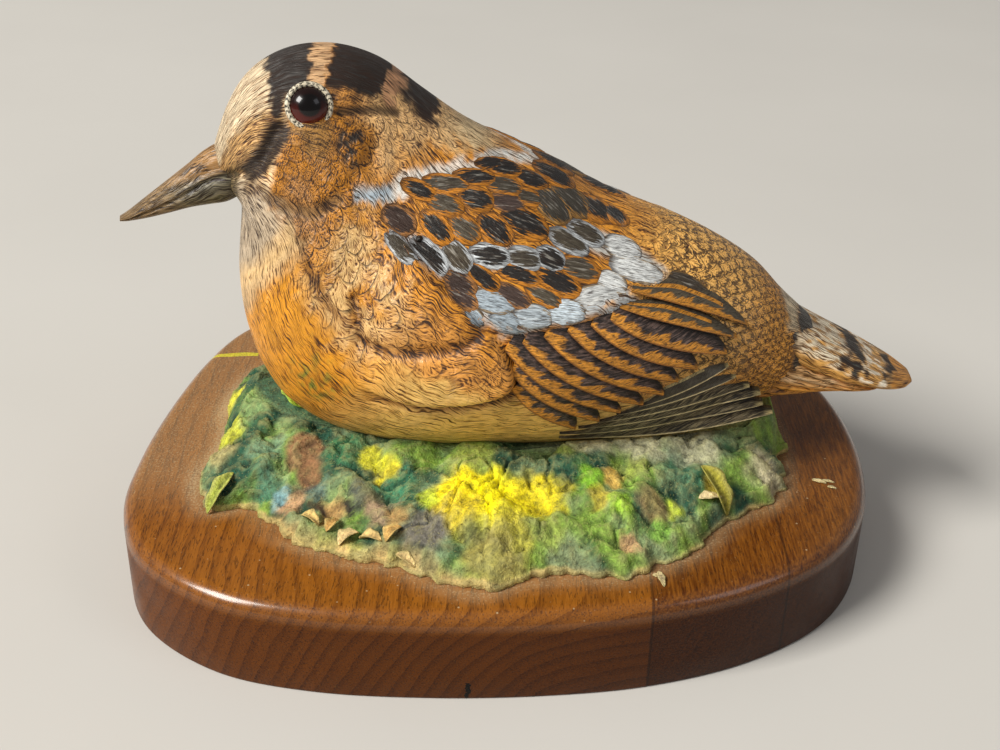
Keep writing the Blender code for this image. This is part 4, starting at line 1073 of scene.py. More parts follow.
lines = add(tree, "Mix", {0: blend, 2: strokes, 3: barbs})

# %% Skin colour and relief
limit = add(tree, "MapRange", strength.outputs["X"], 0.0, 1.0, 0.3, 0.7)
over = add(tree, "Math SUBTRACT", lines, limit)
crest = add(tree, "MapRange", over, -0.05, 0.045)
painted = add(tree, "Mix RGBA", {0: crest, 6: dark.outputs["Vector"], 7: light.outputs["Vector"]})
deep = add(tree, "MapRange", over, -0.03, -0.1, 0.0, 0.92)
painted = add(tree, "Mix RGBA", {0: deep, 6: painted, 7: linear(BURNT_AND_SHADE)})
curly = add(tree, "VectorMath MULTIPLY", bent_run, (0.55, 0.3, 1.0))
curls = add(tree, "TexNoise", {0: curly, "Scale": 1.0, "Detail": 2.0, "Distortion": 1.6})
curl = add(tree, "MapRange", curls, 0.52, 0.57)
no_edges = add(tree, "Math MULTIPLY_ADD", strength.outputs["Y"], -1.0, 1.0)
curl = add(tree, "Math MULTIPLY", curl, no_edges)
ragged = add(tree, "Math MULTIPLY_ADD", curls, 1.7, to_tip)
off_crescent = add(tree, "Math SUBTRACT", ragged, 1.2)
off_crescent = add(tree, "Math ABSOLUTE", off_crescent)
crescent = add(tree, "MapRange", off_crescent, 0.24, 0.13)
crescent = add(tree, "Math MULTIPLY", crescent, strength.outputs["Y"])
mark = add(tree, "Math MAXIMUM", curl, crescent)
mark = add(tree, "Math MULTIPLY", mark, strength.outputs["Z"])
marked = add(tree, "Mix RGBA", {0: mark, 6: painted, 7: linear(BURNT_AND_SHADE)})
# Painted shadow: a dark line just past the tip of each upper feather, where it overlaps the next row.
shade_line = add(tree, "MapRange", to_upper_tip, -0.16, -0.03, 0.0, 1.0)
outside = add(tree, "Math SUBTRACT", 1.0, in_upper)
shade_line = add(tree, "Math MULTIPLY", shade_line, outside)
shade_line = add(tree, "Math MULTIPLY", shade_line, strength.outputs["Y"])
edged = add(tree, "Mix RGBA", {0: shade_line, 6: marked, 7: linear(BURNT_AND_SHADE)})
cloud = add(tree, "TexNoise", {0: run.outputs["Vector"], "Scale": 0.13, "Detail": 3.0})
tone = add(tree, "MapRange", cloud, 0.3, 0.7, 0.8, 1.18)
toned = add(tree, "VectorMath SCALE", {0: edged, 3: tone})
swell = add(tree, "MapRange", to_tip, 1.2, 0.0, 0.0, 0.9)
swell = add(tree, "Math MULTIPLY", swell, strength.outputs["Y"])
height = add(tree, "Math MULTIPLY_ADD", lines, 0.7, swell)
height = add(tree, "Math MULTIPLY_ADD", mark, -0.2, height)
bump = add(tree, "Bump", {"Strength": 1.0, "Distance": 0.85 * MM, "Height": height})
sheen = add(tree, "MapRange", over, -0.1, 0.15, 0.58, 0.3)
feed(shader, {"Base Color": toned, "Normal": bump, "Roughness": sheen, "IOR": 1.5})
skin.data.materials.append(skin_paint)
print("skin finish nodes", len(tree.nodes))
# %% [markdown]
# ## One cut feather
#
# The feathers of the shoulder were outlined with the burning pen until each stood as a low
# pillow, with its root under the one before. One small shape stands for them all: a shield that
# rises to its round tip and drops to the surface along its edge. It is one unit long and wide
# and has few faces, because it is laid again and again. It keeps where each point is across and
# along it, and how high it rises.

# %% Feather shape
def feather_shape(name, across, along, reach, rise):
    """A unit feather: points (across, along) with a reach of half widths and a rise."""
    points = [(a * reach(t), t, 0.0) for t in along for a in across]
    leaf = [(a, t, rise(a, t)) for t in along for a in across]
    columns, rows = len(across), len(along)
    faces = [(r * columns + c, r * columns + c + 1, (r + 1) * columns + c + 1, (r + 1) * columns + c)
             for r in range(rows - 1) for c in range(columns - 1)]
    mesh = bpy.data.meshes.new(name)
    mesh.from_pydata(points, [], faces)
    shape = bpy.data.objects.new(name, mesh)
    keep(shape, "leaf", leaf)
    print(name, "has", len(faces), "faces")
    return shape


def shield_reach(t):
    """Half width of a feather from its narrow root to its round tip."""
    return (0.5 + 0.5 * float(smooth(0, 0.45, t))) * math.sqrt(1 - 0.92 * max((t - 0.66) / 0.34, 0.0) ** 2)


def shield_rise(a, t):
    """Height over the skin: low at the root and the edge, highest near the tip."""
    return -0.5 + 1.5 * float(smooth(0, 0.6, t)) - 0.9 * a ** 4 - 1.1 * float(smooth(0.84, 1.0, t))


shield = feather_shape("shield_shape", (-1, -0.8, -0.4, 0, 0.4, 0.8, 1),
                       (0, 0.2, 0.4, 0.6, 0.78, 0.9, 0.97, 1.0),
                       shield_reach, shield_rise)

# %% [markdown]
# ## Laying feathers with Geometry Nodes
#
# Cutting feathers one by one would take as long here as it took the maker. Each feather starts
# as one point with its own size, directions and colours. A node tree sets the shape on every
# point, turns it to lie along the feather direction, makes the instances real, then drops every
# point on to the nearest place of the skin and lifts it by its rise.

# %% The node tree that lays feathers
def feather_layer(finish):
    """A Geometry Nodes tree that lays one shape over the skin on every given point."""
    tree, given = new_tree("lay_feathers", {"Points": "Geometry", "Skin": "Object", "Feather": "Object",
                                            "Lift": "Float"}, "Feathers")
    unit = add(tree, "GeometryNodeObjectInfo", {"Object": given.outputs["Feather"]})
    body = add(tree, "GeometryNodeObjectInfo", {"Object": given.outputs["Skin"]})
    look, run, size, leaf = (
        add(tree, "GeometryNodeInputNamedAttribute", {"Name": name}, data_type="FLOAT_VECTOR")
        for name in ("look", "run", "size", "leaf"))
    turn = add(tree, "FunctionNodeAxesToRotation", look, run, primary_axis="Z", secondary_axis="Y")
    metres = add(tree, "VectorMath MULTIPLY", size, (0.5 * MM, MM, MM))
    laid = add(tree, "GeometryNodeInstanceOnPoints",
               {"Points": given.outputs["Points"], "Instance": unit.outputs["Geometry"], "Rotation": turn,
                "Scale": metres})
    real = add(tree, "GeometryNodeRealizeInstances", laid)
    here = add(tree, "GeometryNodeInputPosition")
    outwards = add(tree, "GeometryNodeInputNormal")
    where, facing = (
        add(tree, "GeometryNodeSampleNearestSurface", {"Mesh": body.outputs["Geometry"], "Value": value},
            data_type="FLOAT_VECTOR") for value in (here, outwards))
    rise = add(tree, "SeparateXYZ", leaf)
    tall = add(tree, "SeparateXYZ", size)
    height = add(tree, "Math MULTIPLY", rise.outputs["Z"], tall.outputs["Z"])
    height = add(tree, "Math MULTIPLY", height, given.outputs["Lift"])
    away = add(tree, "VectorMath NORMALIZE", facing.outputs["Value"])
    lifted = add(tree, "VectorMath SCALE", {0: away, 3: height})
    place = add(tree, "VectorMath ADD", where.outputs["Value"], lifted)
    moved = add(tree, "GeometryNodeSetPosition", {"Geometry": real, "Position": place})
    rounded = add(tree, "GeometryNodeSetShadeSmooth", {"Geometry": moved})
    painted = add(tree, "GeometryNodeSetMaterial", {"Geometry": rounded, "Material": finish})
    add(tree, "NodeGroupOutput", painted)
    return tree


def lay_feathers(name, shape, table, finish):
    """Lay feathers from a table of columns as one plain piece."""
    mesh = bpy.data.meshes.new(name + "_points")
    mesh.from_pydata((table["place"] * MM).tolist(), [], [])
    start = bpy.data.objects.new(name + "_points", mesh)
    bpy.context.scene.collection.objects.link(start)
    for column in ("look", "run", "size", "heart", "rim", "pattern"):
        keep(start, column, table[column])
    run_tree(name, start, feather_layer(finish), {"Skin": skin, "Feather": shape, "Lift": MM},
             "bird")
    print(name, "feathers:", len(table["place"]))


# %% [markdown]
# ## The shoulder's paint
#
# Every feather of the shoulder and coverts has a dark heart with fine light streaks, drawn with
# a brush that was nearly dry, and an orange or white rim. The outline is burnt in, and the low
# edge and root of each feather are darkened further as painted shade where it runs under its
# neighbours. Attributes carry each feather's own colours, so one finish paints them all.

# %% Feather finish
feather_paint, tree, shader = new_material("oil_paint_on_cut_feathers")
read = {name: add(tree, "Attribute", attribute_name=name).outputs["Vector"]
        for name in ("leaf", "size", "pattern", "heart", "rim")}
at = add(tree, "SeparateXYZ", read["leaf"])
big = add(tree, "SeparateXYZ", read["size"])
kind = add(tree, "SeparateXYZ", read["pattern"])
aside = add(tree, "Math ABSOLUTE", at.outputs["X"])
across_mm = add(tree, "Math MULTIPLY", at.outputs["X"], big.outputs["X"])
along_mm = add(tree, "Math MULTIPLY", at.outputs["Y"], big.outputs["Y"])
leaning = add(tree, "Math MULTIPLY_ADD", along_mm, 0.22, across_mm)
streak_place = add(tree, "CombineXYZ", leaning, along_mm, kind.outputs["Z"])
streak_place = add(tree, "VectorMath MULTIPLY", streak_place, (0.95, 0.22, 1.0))
streaks = add(tree, "TexNoise", {0: streak_place, "Scale": 1.0, "Detail": 3.0, "Roughness": 0.6})
frayed = add(tree, "TexNoise", {0: streak_place, "Scale": 1.1, "Detail": 3.0, "Roughness": 0.6})
fray = add(tree, "Math SUBTRACT", frayed, 0.5)
across = add(tree, "Math DIVIDE", aside, kind.outputs["X"])
across = add(tree, "Math POWER", across, 2.0)
along = add(tree, "Math SUBTRACT", at.outputs["Y"], 0.6)
along = add(tree, "Math ABSOLUTE", along)
along = add(tree, "Math DIVIDE", along, kind.outputs["Y"])
along = add(tree, "Math POWER", along, 2.0)
oval = add(tree, "Math ADD", across, along)
oval = add(tree, "Math MULTIPLY_ADD", fray, 3.6, oval)
in_heart = add(tree, "MapRange", oval, 1.15, 0.92)
light_line = add(tree, "MapRange", streaks, 0.57, 0.68, 0.0, 0.5)
heart = add(tree, "Mix RGBA", {0: light_line, 6: read["heart"], 7: linear("A8A49A")})
feather = add(tree, "Mix RGBA", {0: in_heart, 6: read["rim"], 7: heart})
# Burnt outline and painted shade: where the feather lies low, at its edge and root, it is darkened towards
# burnt brown.
low = add(tree, "MapRange", at.outputs["Z"], 0.42, 0.1, 0.0, 0.7)
edged = add(tree, "Mix RGBA", {0: low, 6: feather, 7: linear(BURNT_AND_SHADE)})
fine_place = add(tree, "VectorMath MULTIPLY", streak_place, (3.2, 1.6, 1.0))
fine_lines = add(tree, "TexNoise", {0: fine_place, "Scale": 1.0, "Detail": 2.0})
burnt_line = add(tree, "MapRange", fine_lines, 0.46, 0.38, 0.0, 0.8)
edged = add(tree, "Mix RGBA", {0: burnt_line, 6: edged, 7: linear(BURNT_AND_SHADE)})
tone = add(tree, "MapRange", streaks, 0.35, 0.62, 0.68, 1.3)
toned = add(tree, "VectorMath SCALE", {0: edged, 3: tone})
relief = add(tree, "Math MULTIPLY_ADD", fine_lines, 0.8, streaks)
bump = add(tree, "Bump", {"Strength": 1.0, "Distance": 0.5 * MM, "Height": relief})
feed(shader, {"Base Color": toned, "Normal": bump, "Roughness": 0.48, "IOR": 1.5})

# %% [markdown]
# ## The shoulder's feathers
#
# They aren't in even rows, so each is listed with the ring and degrees of its heart's root and
# tip and its width in millimetres, as cut on the bird's left side, and the right side gets the
# same.

# %% Shoulder feathers
HAND_LAID = {
    "dark": [
        (8.12, 57, 9.2, 48, 4.4), (9.05, 39, 10.03, 26, 4.3), (9.49, 24, 10.42, 15, 5.8), (10.03, 19,
        10.97, 15, 6.3), (10.32, 6, 11.54, 6, 10), (9.38, 41, 10.21, 36, 6.1), (11.54, 5, 12.41, 15,
        11), (12.16, 3, 12.66, 14, 7.3), (8.87, 56, 9.96, 56, 5.5), (9.92, 41, 10.82, 45, 6.8), (10.17,
        36, 11.33, 35, 7.1), (10.24, 58, 11.15, 60, 4.1), (10.68, 55, 11.65, 51, 4.2), (11.25, 48,
        12.37, 49, 5.9), (9.38, 28, 10.06, 16, 3.7)],
    "brown": [
        (8.51, 51, 9.63, 36, 4.4), (8.8, 52, 9.81, 45, 5.3), (9.63, 31, 10.57, 24, 5.8), (10.28, 28, 11,
        24, 5.2), (9.49, 49, 10.35, 50, 6), (11.54, 42, 12.55, 40, 6.3), (11.29, 54, 12.23, 56, 4.1)],
    "mauve": [
        (8.01, 69, 9.13, 64, 5.7), (9.92, 36, 10.71, 30, 5), (10.06, 65, 10.86, 65, 4.9), (10.86, 59,
        11.76, 60, 4.3), (10.21, 68, 11.04, 68, 4.9)],
    "olive": [
        (10.61, 16, 11.58, 26, 8.5), (10.89, 8, 11.94, 18, 10.8)],
    "snowy_grey": [
        (8.3, 74, 9.56, 70, 4.4), (9.7, 56, 10.53, 60, 5.3), (10.71, 50, 11.51, 45, 5.7), (11.11, 33,
        12.16, 33, 5.8), (11.4, 26, 12.37, 26, 6.4)],
    "snowy_dark": [
        (8.91, 67, 10.21, 65, 6), (10.14, 56, 11, 50, 5.6), (11.15, 42, 11.9, 42, 5.7)],
    "white": [
        (12.19, 26, 13.09, 25, 7.6), (12.34, 33, 13.6, 34, 6.8), (12.35, 40, 13.05, 42, 5.6), (12.1, 54,
        13.17, 47, 6.8)],
    "pale_blue": [
        (11.86, 59, 12.63, 57, 6.2), (11.42, 65, 12.2, 62, 6.2)],
    "blue": [
        (11.1, 69, 11.90, 68, 4.8), (10.6, 67, 11.54, 63, 5.2), (10.8, 70, 11.29, 72, 4.0)],
    "tertial_dark": [
        (13.45, 30, 14.57, 37, 5.6)],
    "hole": [
        (9.28, 65.5, 9.44, 62.5, 1.5)],
}
# Kind: heart, rim, shares of the width and length that the heart takes, lift
KINDS = {
    "dark": (BLACK, ORANGE, 0.72, 0.8, 0.5), "brown": (OLIVE_GREY, ORANGE, 0.7, 0.78, 0.45),
    "mauve": (MAUVE, "B98048", 0.74, 0.82, 0.45), "olive": ("453F33", "B0803C", 0.84, 0.9, 0.5),
    "snowy_grey": (OLIVE_GREY, "C6CACC", 0.7, 0.78, 0.5), "snowy_dark": (BLACK, "CDD2D5", 0.7, 0.78, 0.5),
    "white": ("DEE0DE", "A89478", 0.92, 1.0, 0.35), "blue": ("B2C0CA", "A08C70", 0.9, 1.0, 0.3),
    "pale_blue": ("C8D4DC", "A08C70", 0.92, 1.0, 0.35), "tertial_dark": ("4A4033", "8A6A3C", 0.85, 0.92,
                                                                         0.7),
    "hole": ("0A0806", "1A1008", 0.9, 0.9, 1.3)}


FEATHER_WIDE, FEATHER_LONG = 1.22, 1.16


def feather_table(kind, rows):
    """Columns for the feathers of one kind, on both sides."""
    heart, rim, heart_wide, heart_long, lift = KINDS[kind]
    rows = np.array(rows, float)
    rows = np.vstack([rows, rows * (1, -1, 1, -1, 1)])
    count = len(rows)
    root, look, _ = on_skin(rows[:, 0], rows[:, 1])
    tip, look_tip, _ = on_skin(rows[:, 2], rows[:, 3])
    long = np.linalg.norm(tip - root, axis=1)
    run = (tip - root) / long[:, None]
    look = look + look_tip
    look /= np.linalg.norm(look, axis=1, keepdims=True)
    lifts = lift * chance.uniform(0.85, 1.2, count)
    return {"place": root - run * (0.06 * long)[:, None], "look": look, "run": run,
            "size": np.column_stack([rows[:, 4] * FEATHER_WIDE, long * FEATHER_LONG, lifts]),
            "heart": rgb(heart) * chance.uniform(0.75, 1.35, (count, 1)),
            "rim": rgb(rim) * chance.uniform(0.88, 1.12, (count, 1)),
            "pattern": np.column_stack([heart_wide * chance.uniform(0.86, 1.08, count),
                                        0.38 * heart_long * chance.uniform(0.86, 1.08, count),
                                        chance.uniform(0, 50, count)])}


shoulder_tables = [feather_table(kind, rows) for kind, rows in HAND_LAID.items()]
shoulder = {name: np.concatenate([t[name] for t in shoulder_tables]) for name in shoulder_tables[0]}
lay_feathers("wing_coverts", shield, shoulder, feather_paint)
# %% [markdown]
# ## Bill and tail
#
# A live woodcock's bill is straight and much longer: this maker cut it short, with a chisel tip,
# a groove along the mouth and furrows at the root. The tail is two layers of feathers pressed
# together. Both are tubes through measured sections, each pushed in or out by its own furrows.

# %% Bill
BILL_RINGS = np.array([  # x, top, bottom, half width
    (-71, 120.0, 107.5, 5.5), (-76, 121.0, 104.9, 6.6), (-81, 118.9, 104.2, 5.8),
    (-86, 115.1, 103.6, 4.9), (-92, 110.7, 102.3, 4.0), (-98, 106.3, 101.2, 3.2),
    (-102.4, 103.0, 100.8, 2.5), (-104.6, 101.7, 100.8, 1.6)])


def tube_of_sections(rows, rings, sides, squareness, furrow):
    """Points of a tube through rows of x, top, bottom and half width; furrow scales the radius."""
    rows = curve_rows(rows, np.linspace(0, len(rows) - 1, rings))
    angle = np.linspace(0, 2 * math.pi, sides, endpoint=False) + math.pi / sides
    sine, cosine = np.sin(angle), np.cos(angle)
    middle, half = (rows[:, 1:2] + rows[:, 2:3]) / 2, (rows[:, 1:2] - rows[:, 2:3]) / 2
    depth = furrow(rows[:, 0:1], cosine[None])
    points = np.zeros((rings, sides, 3))
    points[:, :, 0] = rows[:, 0:1]
    points[:, :, 1] = -rows[:, 3:4] * np.sign(sine) * np.abs(sine) ** squareness * depth
    points[:, :, 2] = middle + half * cosine * depth
    return points


def bill_furrows(x, height):
    """The mouth groove along the bill and the crease above it near the root."""
    root = smooth(-94, -78, x)
    mouth = 0.2 * np.exp(-((height + 0.12 - 0.25 * root) / 0.13) ** 2)
    crease = 0.16 * np.exp(-((height - 0.45) / 0.16) ** 2) * smooth(-100, -88, x)
    return 1 - mouth - crease


bill_points = tube_of_sections(BILL_RINGS, 90, 96, 1.0, bill_furrows)
bill_flat = bill_points.reshape(-1, 3)
bill = new_piece("bill", turn_head(bill_flat, whole=True), ring_faces(90, 96), None, "painted_wood", "bird")

# %% Tail
TAIL_TOP_RINGS = np.array([
    (62, 84, 70, 13), (72, 78, 64, 14), (82, 70.5, 57.5, 14.8), (92, 64.5, 53.5, 15),
    (101, 59.5, 51.5, 14.6), (108, 55.5, 50.3, 13), (114, 52.4, 49.6, 9.5), (118, 50.6, 49.2, 4)])
TAIL_UNDER_RINGS = np.array([
    (62, 78, 46, 17), (72, 72, 45, 16), (82, 64, 46.8, 14.8), (92, 58.5, 48.6, 13.8),
    (100, 54.5, 49.0, 12.4), (106, 52.0, 49.0, 9.6), (110, 50.8, 49.2, 4.5)])


def top_furrows(x, height):
    return 1 - 0.055 * (1 - np.abs(np.sin(5 * np.arccos(height)))) ** 2


def under_furrows(x, height):
    return 1 - 0.10 * np.exp(-(((height + 0.02 * (x - 90)) * 3.4 % 1.0 - 0.5) / 0.16) ** 2)


tail_top = new_piece("tail_upper", tube_of_sections(TAIL_TOP_RINGS, 110, 120, 0.7, top_furrows).reshape(-1,
                                                                                                        3),
                     ring_faces(110, 120), None, "painted_wood", "bird")
tail_under = new_piece("tail_lower", tube_of_sections(TAIL_UNDER_RINGS, 100, 120, 0.7,
                                                      under_furrows).reshape(-1, 3),
                       ring_faces(100, 120), None, "painted_wood", "bird")

# %% [markdown]
# ## Paint of bill and tail
#
# Both take the finish of the body, so they get the same attributes: two colours, the share of
# the dark one and millimetres along and across. The bill is horn brown along the ridge and
# dark grey-green in the furrows of its root. The tail is charcoal at the root, then streaked
# with cream and gold, blotched black, and ends in an orange band. Its underside is buff and
# orange.

# %% Bill and tail colours
def dress_tube(piece, rings, sides, zones):
    """Give a tube the attributes that the body's finish reads; zones are masks and paints."""
    grid = np.array([v.co for v in piece.data.vertices]).reshape(rings, sides, 3) / MM
    along = np.cumsum(np.linalg.norm(np.diff(grid, axis=0, prepend=grid[:1]), axis=2), axis=0)
    round_ = np.cumsum(np.linalg.norm(np.diff(grid, axis=1, prepend=grid[:, :1]), axis=2), axis=1)
    run = np.stack([np.broadcast_to(round_[rings // 3], round_.shape), along, 0 * along], axis=2)
    flat = grid.reshape(-1, 3)
    keep_coat(piece, run, run * 0.2, brushed(zones(flat), len(flat)), np.full(len(flat), 0.35))


def bill_zones(p):
    root = smooth(-96, -80, p[:, 0])
    ridge = smooth(0.5, 3.5, p[:, 2] - np.interp(p[:, 0], [-106, -90, -74], [101, 108, 113]))
    return [(1.0, "A5855A", "4E3A20", 0.5, 0.0, 0.0), (root, "8A8168", "2E2A1E", 0.55, 0.0, 0.0),
            (ridge * (0.4 + 0.6 * root), "B08450", "5A4020", 0.45, 0.0, 0.0),
            (1 - smooth(-105, -99, p[:, 0]), "A08058", "5A4630", 0.4, 0.0, 0.0)]


def tail_top_zones(p):
    x = p[:, 0] + 2.2 * noise_at(p, 4.0, 5) + 0.25 * np.abs(p[:, 1])
    spots, streaks = noise_at(p * (0.45, 1, 1), 3.2, 9), noise_at(p * (0.3, 1, 1), 1.6, 10)
    side_line = np.interp(p[:, 0], [62, 82, 101, 118], [79, 66.2, 56.5, 50.5])
    return [(1.0, "D8A868", "5A3A18", 0.5, 0.0, 0.0),
            (1 - smooth(84.5, 87, x), "6E6A60", "1E1C18", 0.6, 0.0, 0.0),
            (band(x, 86, 99, 0.9), "FBEFD2", "8A5E2A", 0.45, 0.0, 0.0),
            (band(x, 86, 99, 0.9) * smooth(0.0, 0.25, streaks), "E0A858", "6A3E12", 0.5, 0.0, 0.0),
            (band(x, 98, 104.5, 0.8) * smooth(-0.35, -0.1, spots), "5A564C", "1A1816", 0.66, 0.0, 0.0),
            (band(x, 104, 111.5, 0.8), "EFB868", "7A4614", 0.46, 0.0, 0.0),
            (band(x, 104, 111, 0.8) * smooth(0.0, 0.2, streaks), "FFF4DE", "A88A5C", 0.38, 0.0, 0.0),
            (band(x, 110.5, 113.5, 0.7) * smooth(-0.25, 0.0, spots), "5A4C3A", "1E1A16", 0.64, 0.0, 0.0),
            (smooth(112.5, 114.5, x), "E09C42", "6A3A10", 0.46, 0.0, 0.0),
            ((1 - smooth(-2.2, -0.4, p[:, 2] - side_line)) * smooth(74, 84, p[:, 0]), "F0B45C", "7A4614",
             0.44, 0.0, 0.0)]


def tail_under_zones(p):
    streak = noise_at(p * (0.25, 1, 1), 3.0, 11)
    low = 1 - smooth(-1.0, 3.0, p[:, 2] - np.interp(p[:, 0], [62, 82, 100, 110], [58, 53, 51, 50]))
    return [(1.0, "ECBC80", "8A5C28", 0.46, 0.0, 0.1),
            (smooth(0.0, 0.35, streak), "F4D0A0", "96744A", 0.42, 0.0, 0.1),
            (low, "F0A842", "8A5414", 0.42, 0.0, 0.0), (1 - smooth(72, 82, p[:, 0]), "D08C3C", "64380F",
                                                        0.5, 0.0, 0.4)]


dress_tube(tail_top, 110, 120, tail_top_zones)
dress_tube(tail_under, 100, 120, tail_under_zones)
dress_tube(bill, 90, 96, bill_zones)
bill_paint = skin_paint.copy()
bill_paint.name = "varnished_paint_on_bill"
bill_shader = bill_paint.node_tree.nodes["Principled BSDF"]
for link in list(bill_shader.inputs["Roughness"].links):
    bill_paint.node_tree.links.remove(link)
bill_shader.inputs["Roughness"].default_value = 0.34
bill.data.materials.append(bill_paint)
tail_top.data.materials.append(skin_paint)
tail_under.data.materials.append(skin_paint)
# %% [markdown]
# ## The long wing feathers
#
# On the real bird each flight feather is cut as a step: its lower edge stands proud of the next
# one down, and its upper edge runs in under the one above. A curve with a bevel would lie on
# air. Here each blade is drawn from the side, its points are dropped sideways on to the body,
# and it gets its height over the body from its lower edge to its upper one.

# %% Blades laid on the body
SECONDARIES = [  # lower edges from the side: root x, z; tip x, z; sag
    (32, 90.8, 64.5, 78.0, -0.8), (29, 87.6, 61.5, 75.6, -0.2), (26.5, 85.0, 58.8, 71.8, 1.8),
    (21.5, 84.2, 50.8, 68.8, 2.0), (15.5, 83.2, 45.8, 65.6, 2.2), (9.5, 82.0, 42.2, 61.8, 2.4),
    (4.0, 80.4, 36.8, 59.2, 2.6), (-0.5, 78.6, 30.8, 57.2, 2.6), (0.8, 72.8, 25.2, 54.6, 2.0),
    (1.5, 67.0, 19.0, 52.0, 1.6)]
PRIMARIES = [
    (36, 58.0, 60.0, 67.4, 1.4), (30, 55.8, 62.6, 63.2, 1.4), (25, 53.4, 67.0, 59.0, 1.2),
    (20, 51.2, 70.4, 56.2, 1.6), (15, 48.8, 71.6, 52.6, 2.2), (15, 46.4, 74.8, 49.4, 3.0)]
BLADE_LIFT, BLADE_ROOT_LIFT, SECONDARY_WIDTH = 2.3, 0.3, 6.2
PRIMARY_WIDTH, PRIMARY_THICK, PRIMARY_LIFT = 5.0, 1.5, 1.2
smooth_straight = whittled_body(110, 90)
straight_tree = BVHTree.FromPolygons([tuple(p) for p in smooth_straight.reshape(-1, 3)],
                                     ring_faces(110, 90))


def blade_line(spec, width, s):
    """Centre, half width and upward direction of a blade whose lower edge sags."""
    root, tip, sag = np.array(spec[:2], float), np.array(spec[2:4], float), spec[4]
    along = (tip - root) / np.linalg.norm(tip - root)
    rise = np.array([-along[1], along[0]])
    lower = root + (tip - root) * s[:, None] - rise * (4 * sag * s * (1 - s))[:, None]
    taper = 1 - 0.88 * np.clip((s - 0.62) / 0.38, 0, 1) ** 2.4
    return lower + rise * width / 2, width / 2 * taper, rise


def beside_body(x, z):
    """How far out from the middle plane the smooth body reaches, or nothing beside it."""
    place = straight_tree.ray_cast(Vector((x, 100.0, z)), Vector((0, -1, 0)))[0]
    return None if place is None else place.y


def blade_grids(spec, width, lift_of, thick, rows=30, columns=11):
    """Top and bottom grids of a blade on the right side, and its place (across, along)."""
    s = np.linspace(0, 1, rows)
    centre, half, rise = blade_line(spec, width, s)
    across = np.linspace(-1, 1, columns)
    top = np.zeros((rows, columns, 3))
    leaf = np.zeros((rows, columns, 3))
    if spec[1] > 87:
        half = half * (0.3 + 0.4 * smooth(0, 0.4, s)) * (1 - 0.6 * s ** 2.5)
    if spec[1] < 60:
        half = half * (0.12 + 0.88 * smooth(0, 0.35, s))
    for i in range(rows):
        for j in range(columns):
            x, z = centre[i] + rise * (half[i] * (across[j] + 1) - width / 2)
            top[i, j] = (x, lift_of(x, z, across[j], s[i]), z)
            leaf[i, j] = (across[j], s[i], 0)
    under = top - (0, thick, 0)
    return top, under, leaf


def secondary_lift(spec):
    """The height of a blade that lies on the body: proud along the lower edge."""
    high = float(smooth(86, 92, spec[1]))
    proud = BLADE_LIFT

    def lift(x, z, across, s):
        crown = 0.35 * (1 - across ** 2) + 0.12 * math.sin(across * 9.0)
        height = proud + (BLADE_ROOT_LIFT + 0.3 * high - proud) * (across + 1) / 2 + crown
        return (beside_body(x, z) or 0.0) + height * (high + (1 - high) * float(smooth(-0.25, 0.3, s)))
    return lift


def primary_lift(index):
    """The height of a blade in the fan whose tips stand free behind the body."""
    def lift(x, z, across, s):
        fan = 34.6 - 0.16 * x + 0.35 * (5 - index)
        out = max(fan, (beside_body(x, z) or 0.0) + PRIMARY_LIFT)
        return out - 0.9 * (across + 1) + 0.3 * (1 - across ** 2)
    return lift


def stack_blades(name, blades, material):
    """Join blades into one piece, on both sides, with their places kept for the paint."""
    points, faces, places = [], [], []
    for number, (top, under, leaf) in enumerate(blades):
        for side in (-1, 1):
            ring = np.concatenate([top, under[:, ::-1]], axis=1)
            rows, columns = ring.shape[:2]
            first = len(points)
            points.extend(ring.reshape(-1, 3) * (1, side, 1))
            edge = np.concatenate([leaf, leaf[:, ::-1]], axis=1)
            edge[:, :, 2] = number
            places.extend(edge.reshape(-1, 3))
            faces.extend([tuple(first + k for k in f) for f in ring_faces(rows, columns)])
    piece = new_piece(name, points, faces, material, "painted_wood", "bird", sharp=50)
    keep(piece, "leaf", places)
    return piece


secondary_blades = [blade_grids(s, SECONDARY_WIDTH, secondary_lift(s), 2.5) for s in SECONDARIES]
primary_blades = [blade_grids(s, PRIMARY_WIDTH, primary_lift(i), PRIMARY_THICK) for i,
                  s in enumerate(PRIMARIES)]
wing_blades = stack_blades("wing_secondaries", secondary_blades, None)
fan_blades = stack_blades("wing_primaries", primary_blades, None)
# %% [markdown]
# ## Eyes
#
# Taxidermist's glass eyes, set in sockets with a raised ring of carved lid round each. The
# plain solid's ball is kept in place by a finer ball of the same size, and the ring is a bent
# tube. Each point of the ball keeps its angle from the direction in which the eye looks.

# %% Eye balls and rings
EYE_PLACE, EYE_RADIUS, EYE_SINK = (-54.4, 15.9, 135.2), 5.6, 2.6
LID_RADIUS, LID_THICK = 5.3, 0.78
head_smooth = turn_head(whittled_body(72, 60)).reshape(-1, 3)
head_tree = BVHTree.FromPolygons([tuple(p) for p in head_smooth], ring_faces(72, 60))


def eye_frame(side):
    """Centre of the eye's ball and the direction in which it looks."""
    x, out, z = EYE_PLACE
    hint = turn_head(np.array([[x, side * out, z]]))[0]
    place, normal, _, _ = head_tree.find_nearest(Vector(hint))
    normal = -normal if normal.y * side < 0 else normal
    return place - normal * EYE_SINK, normal


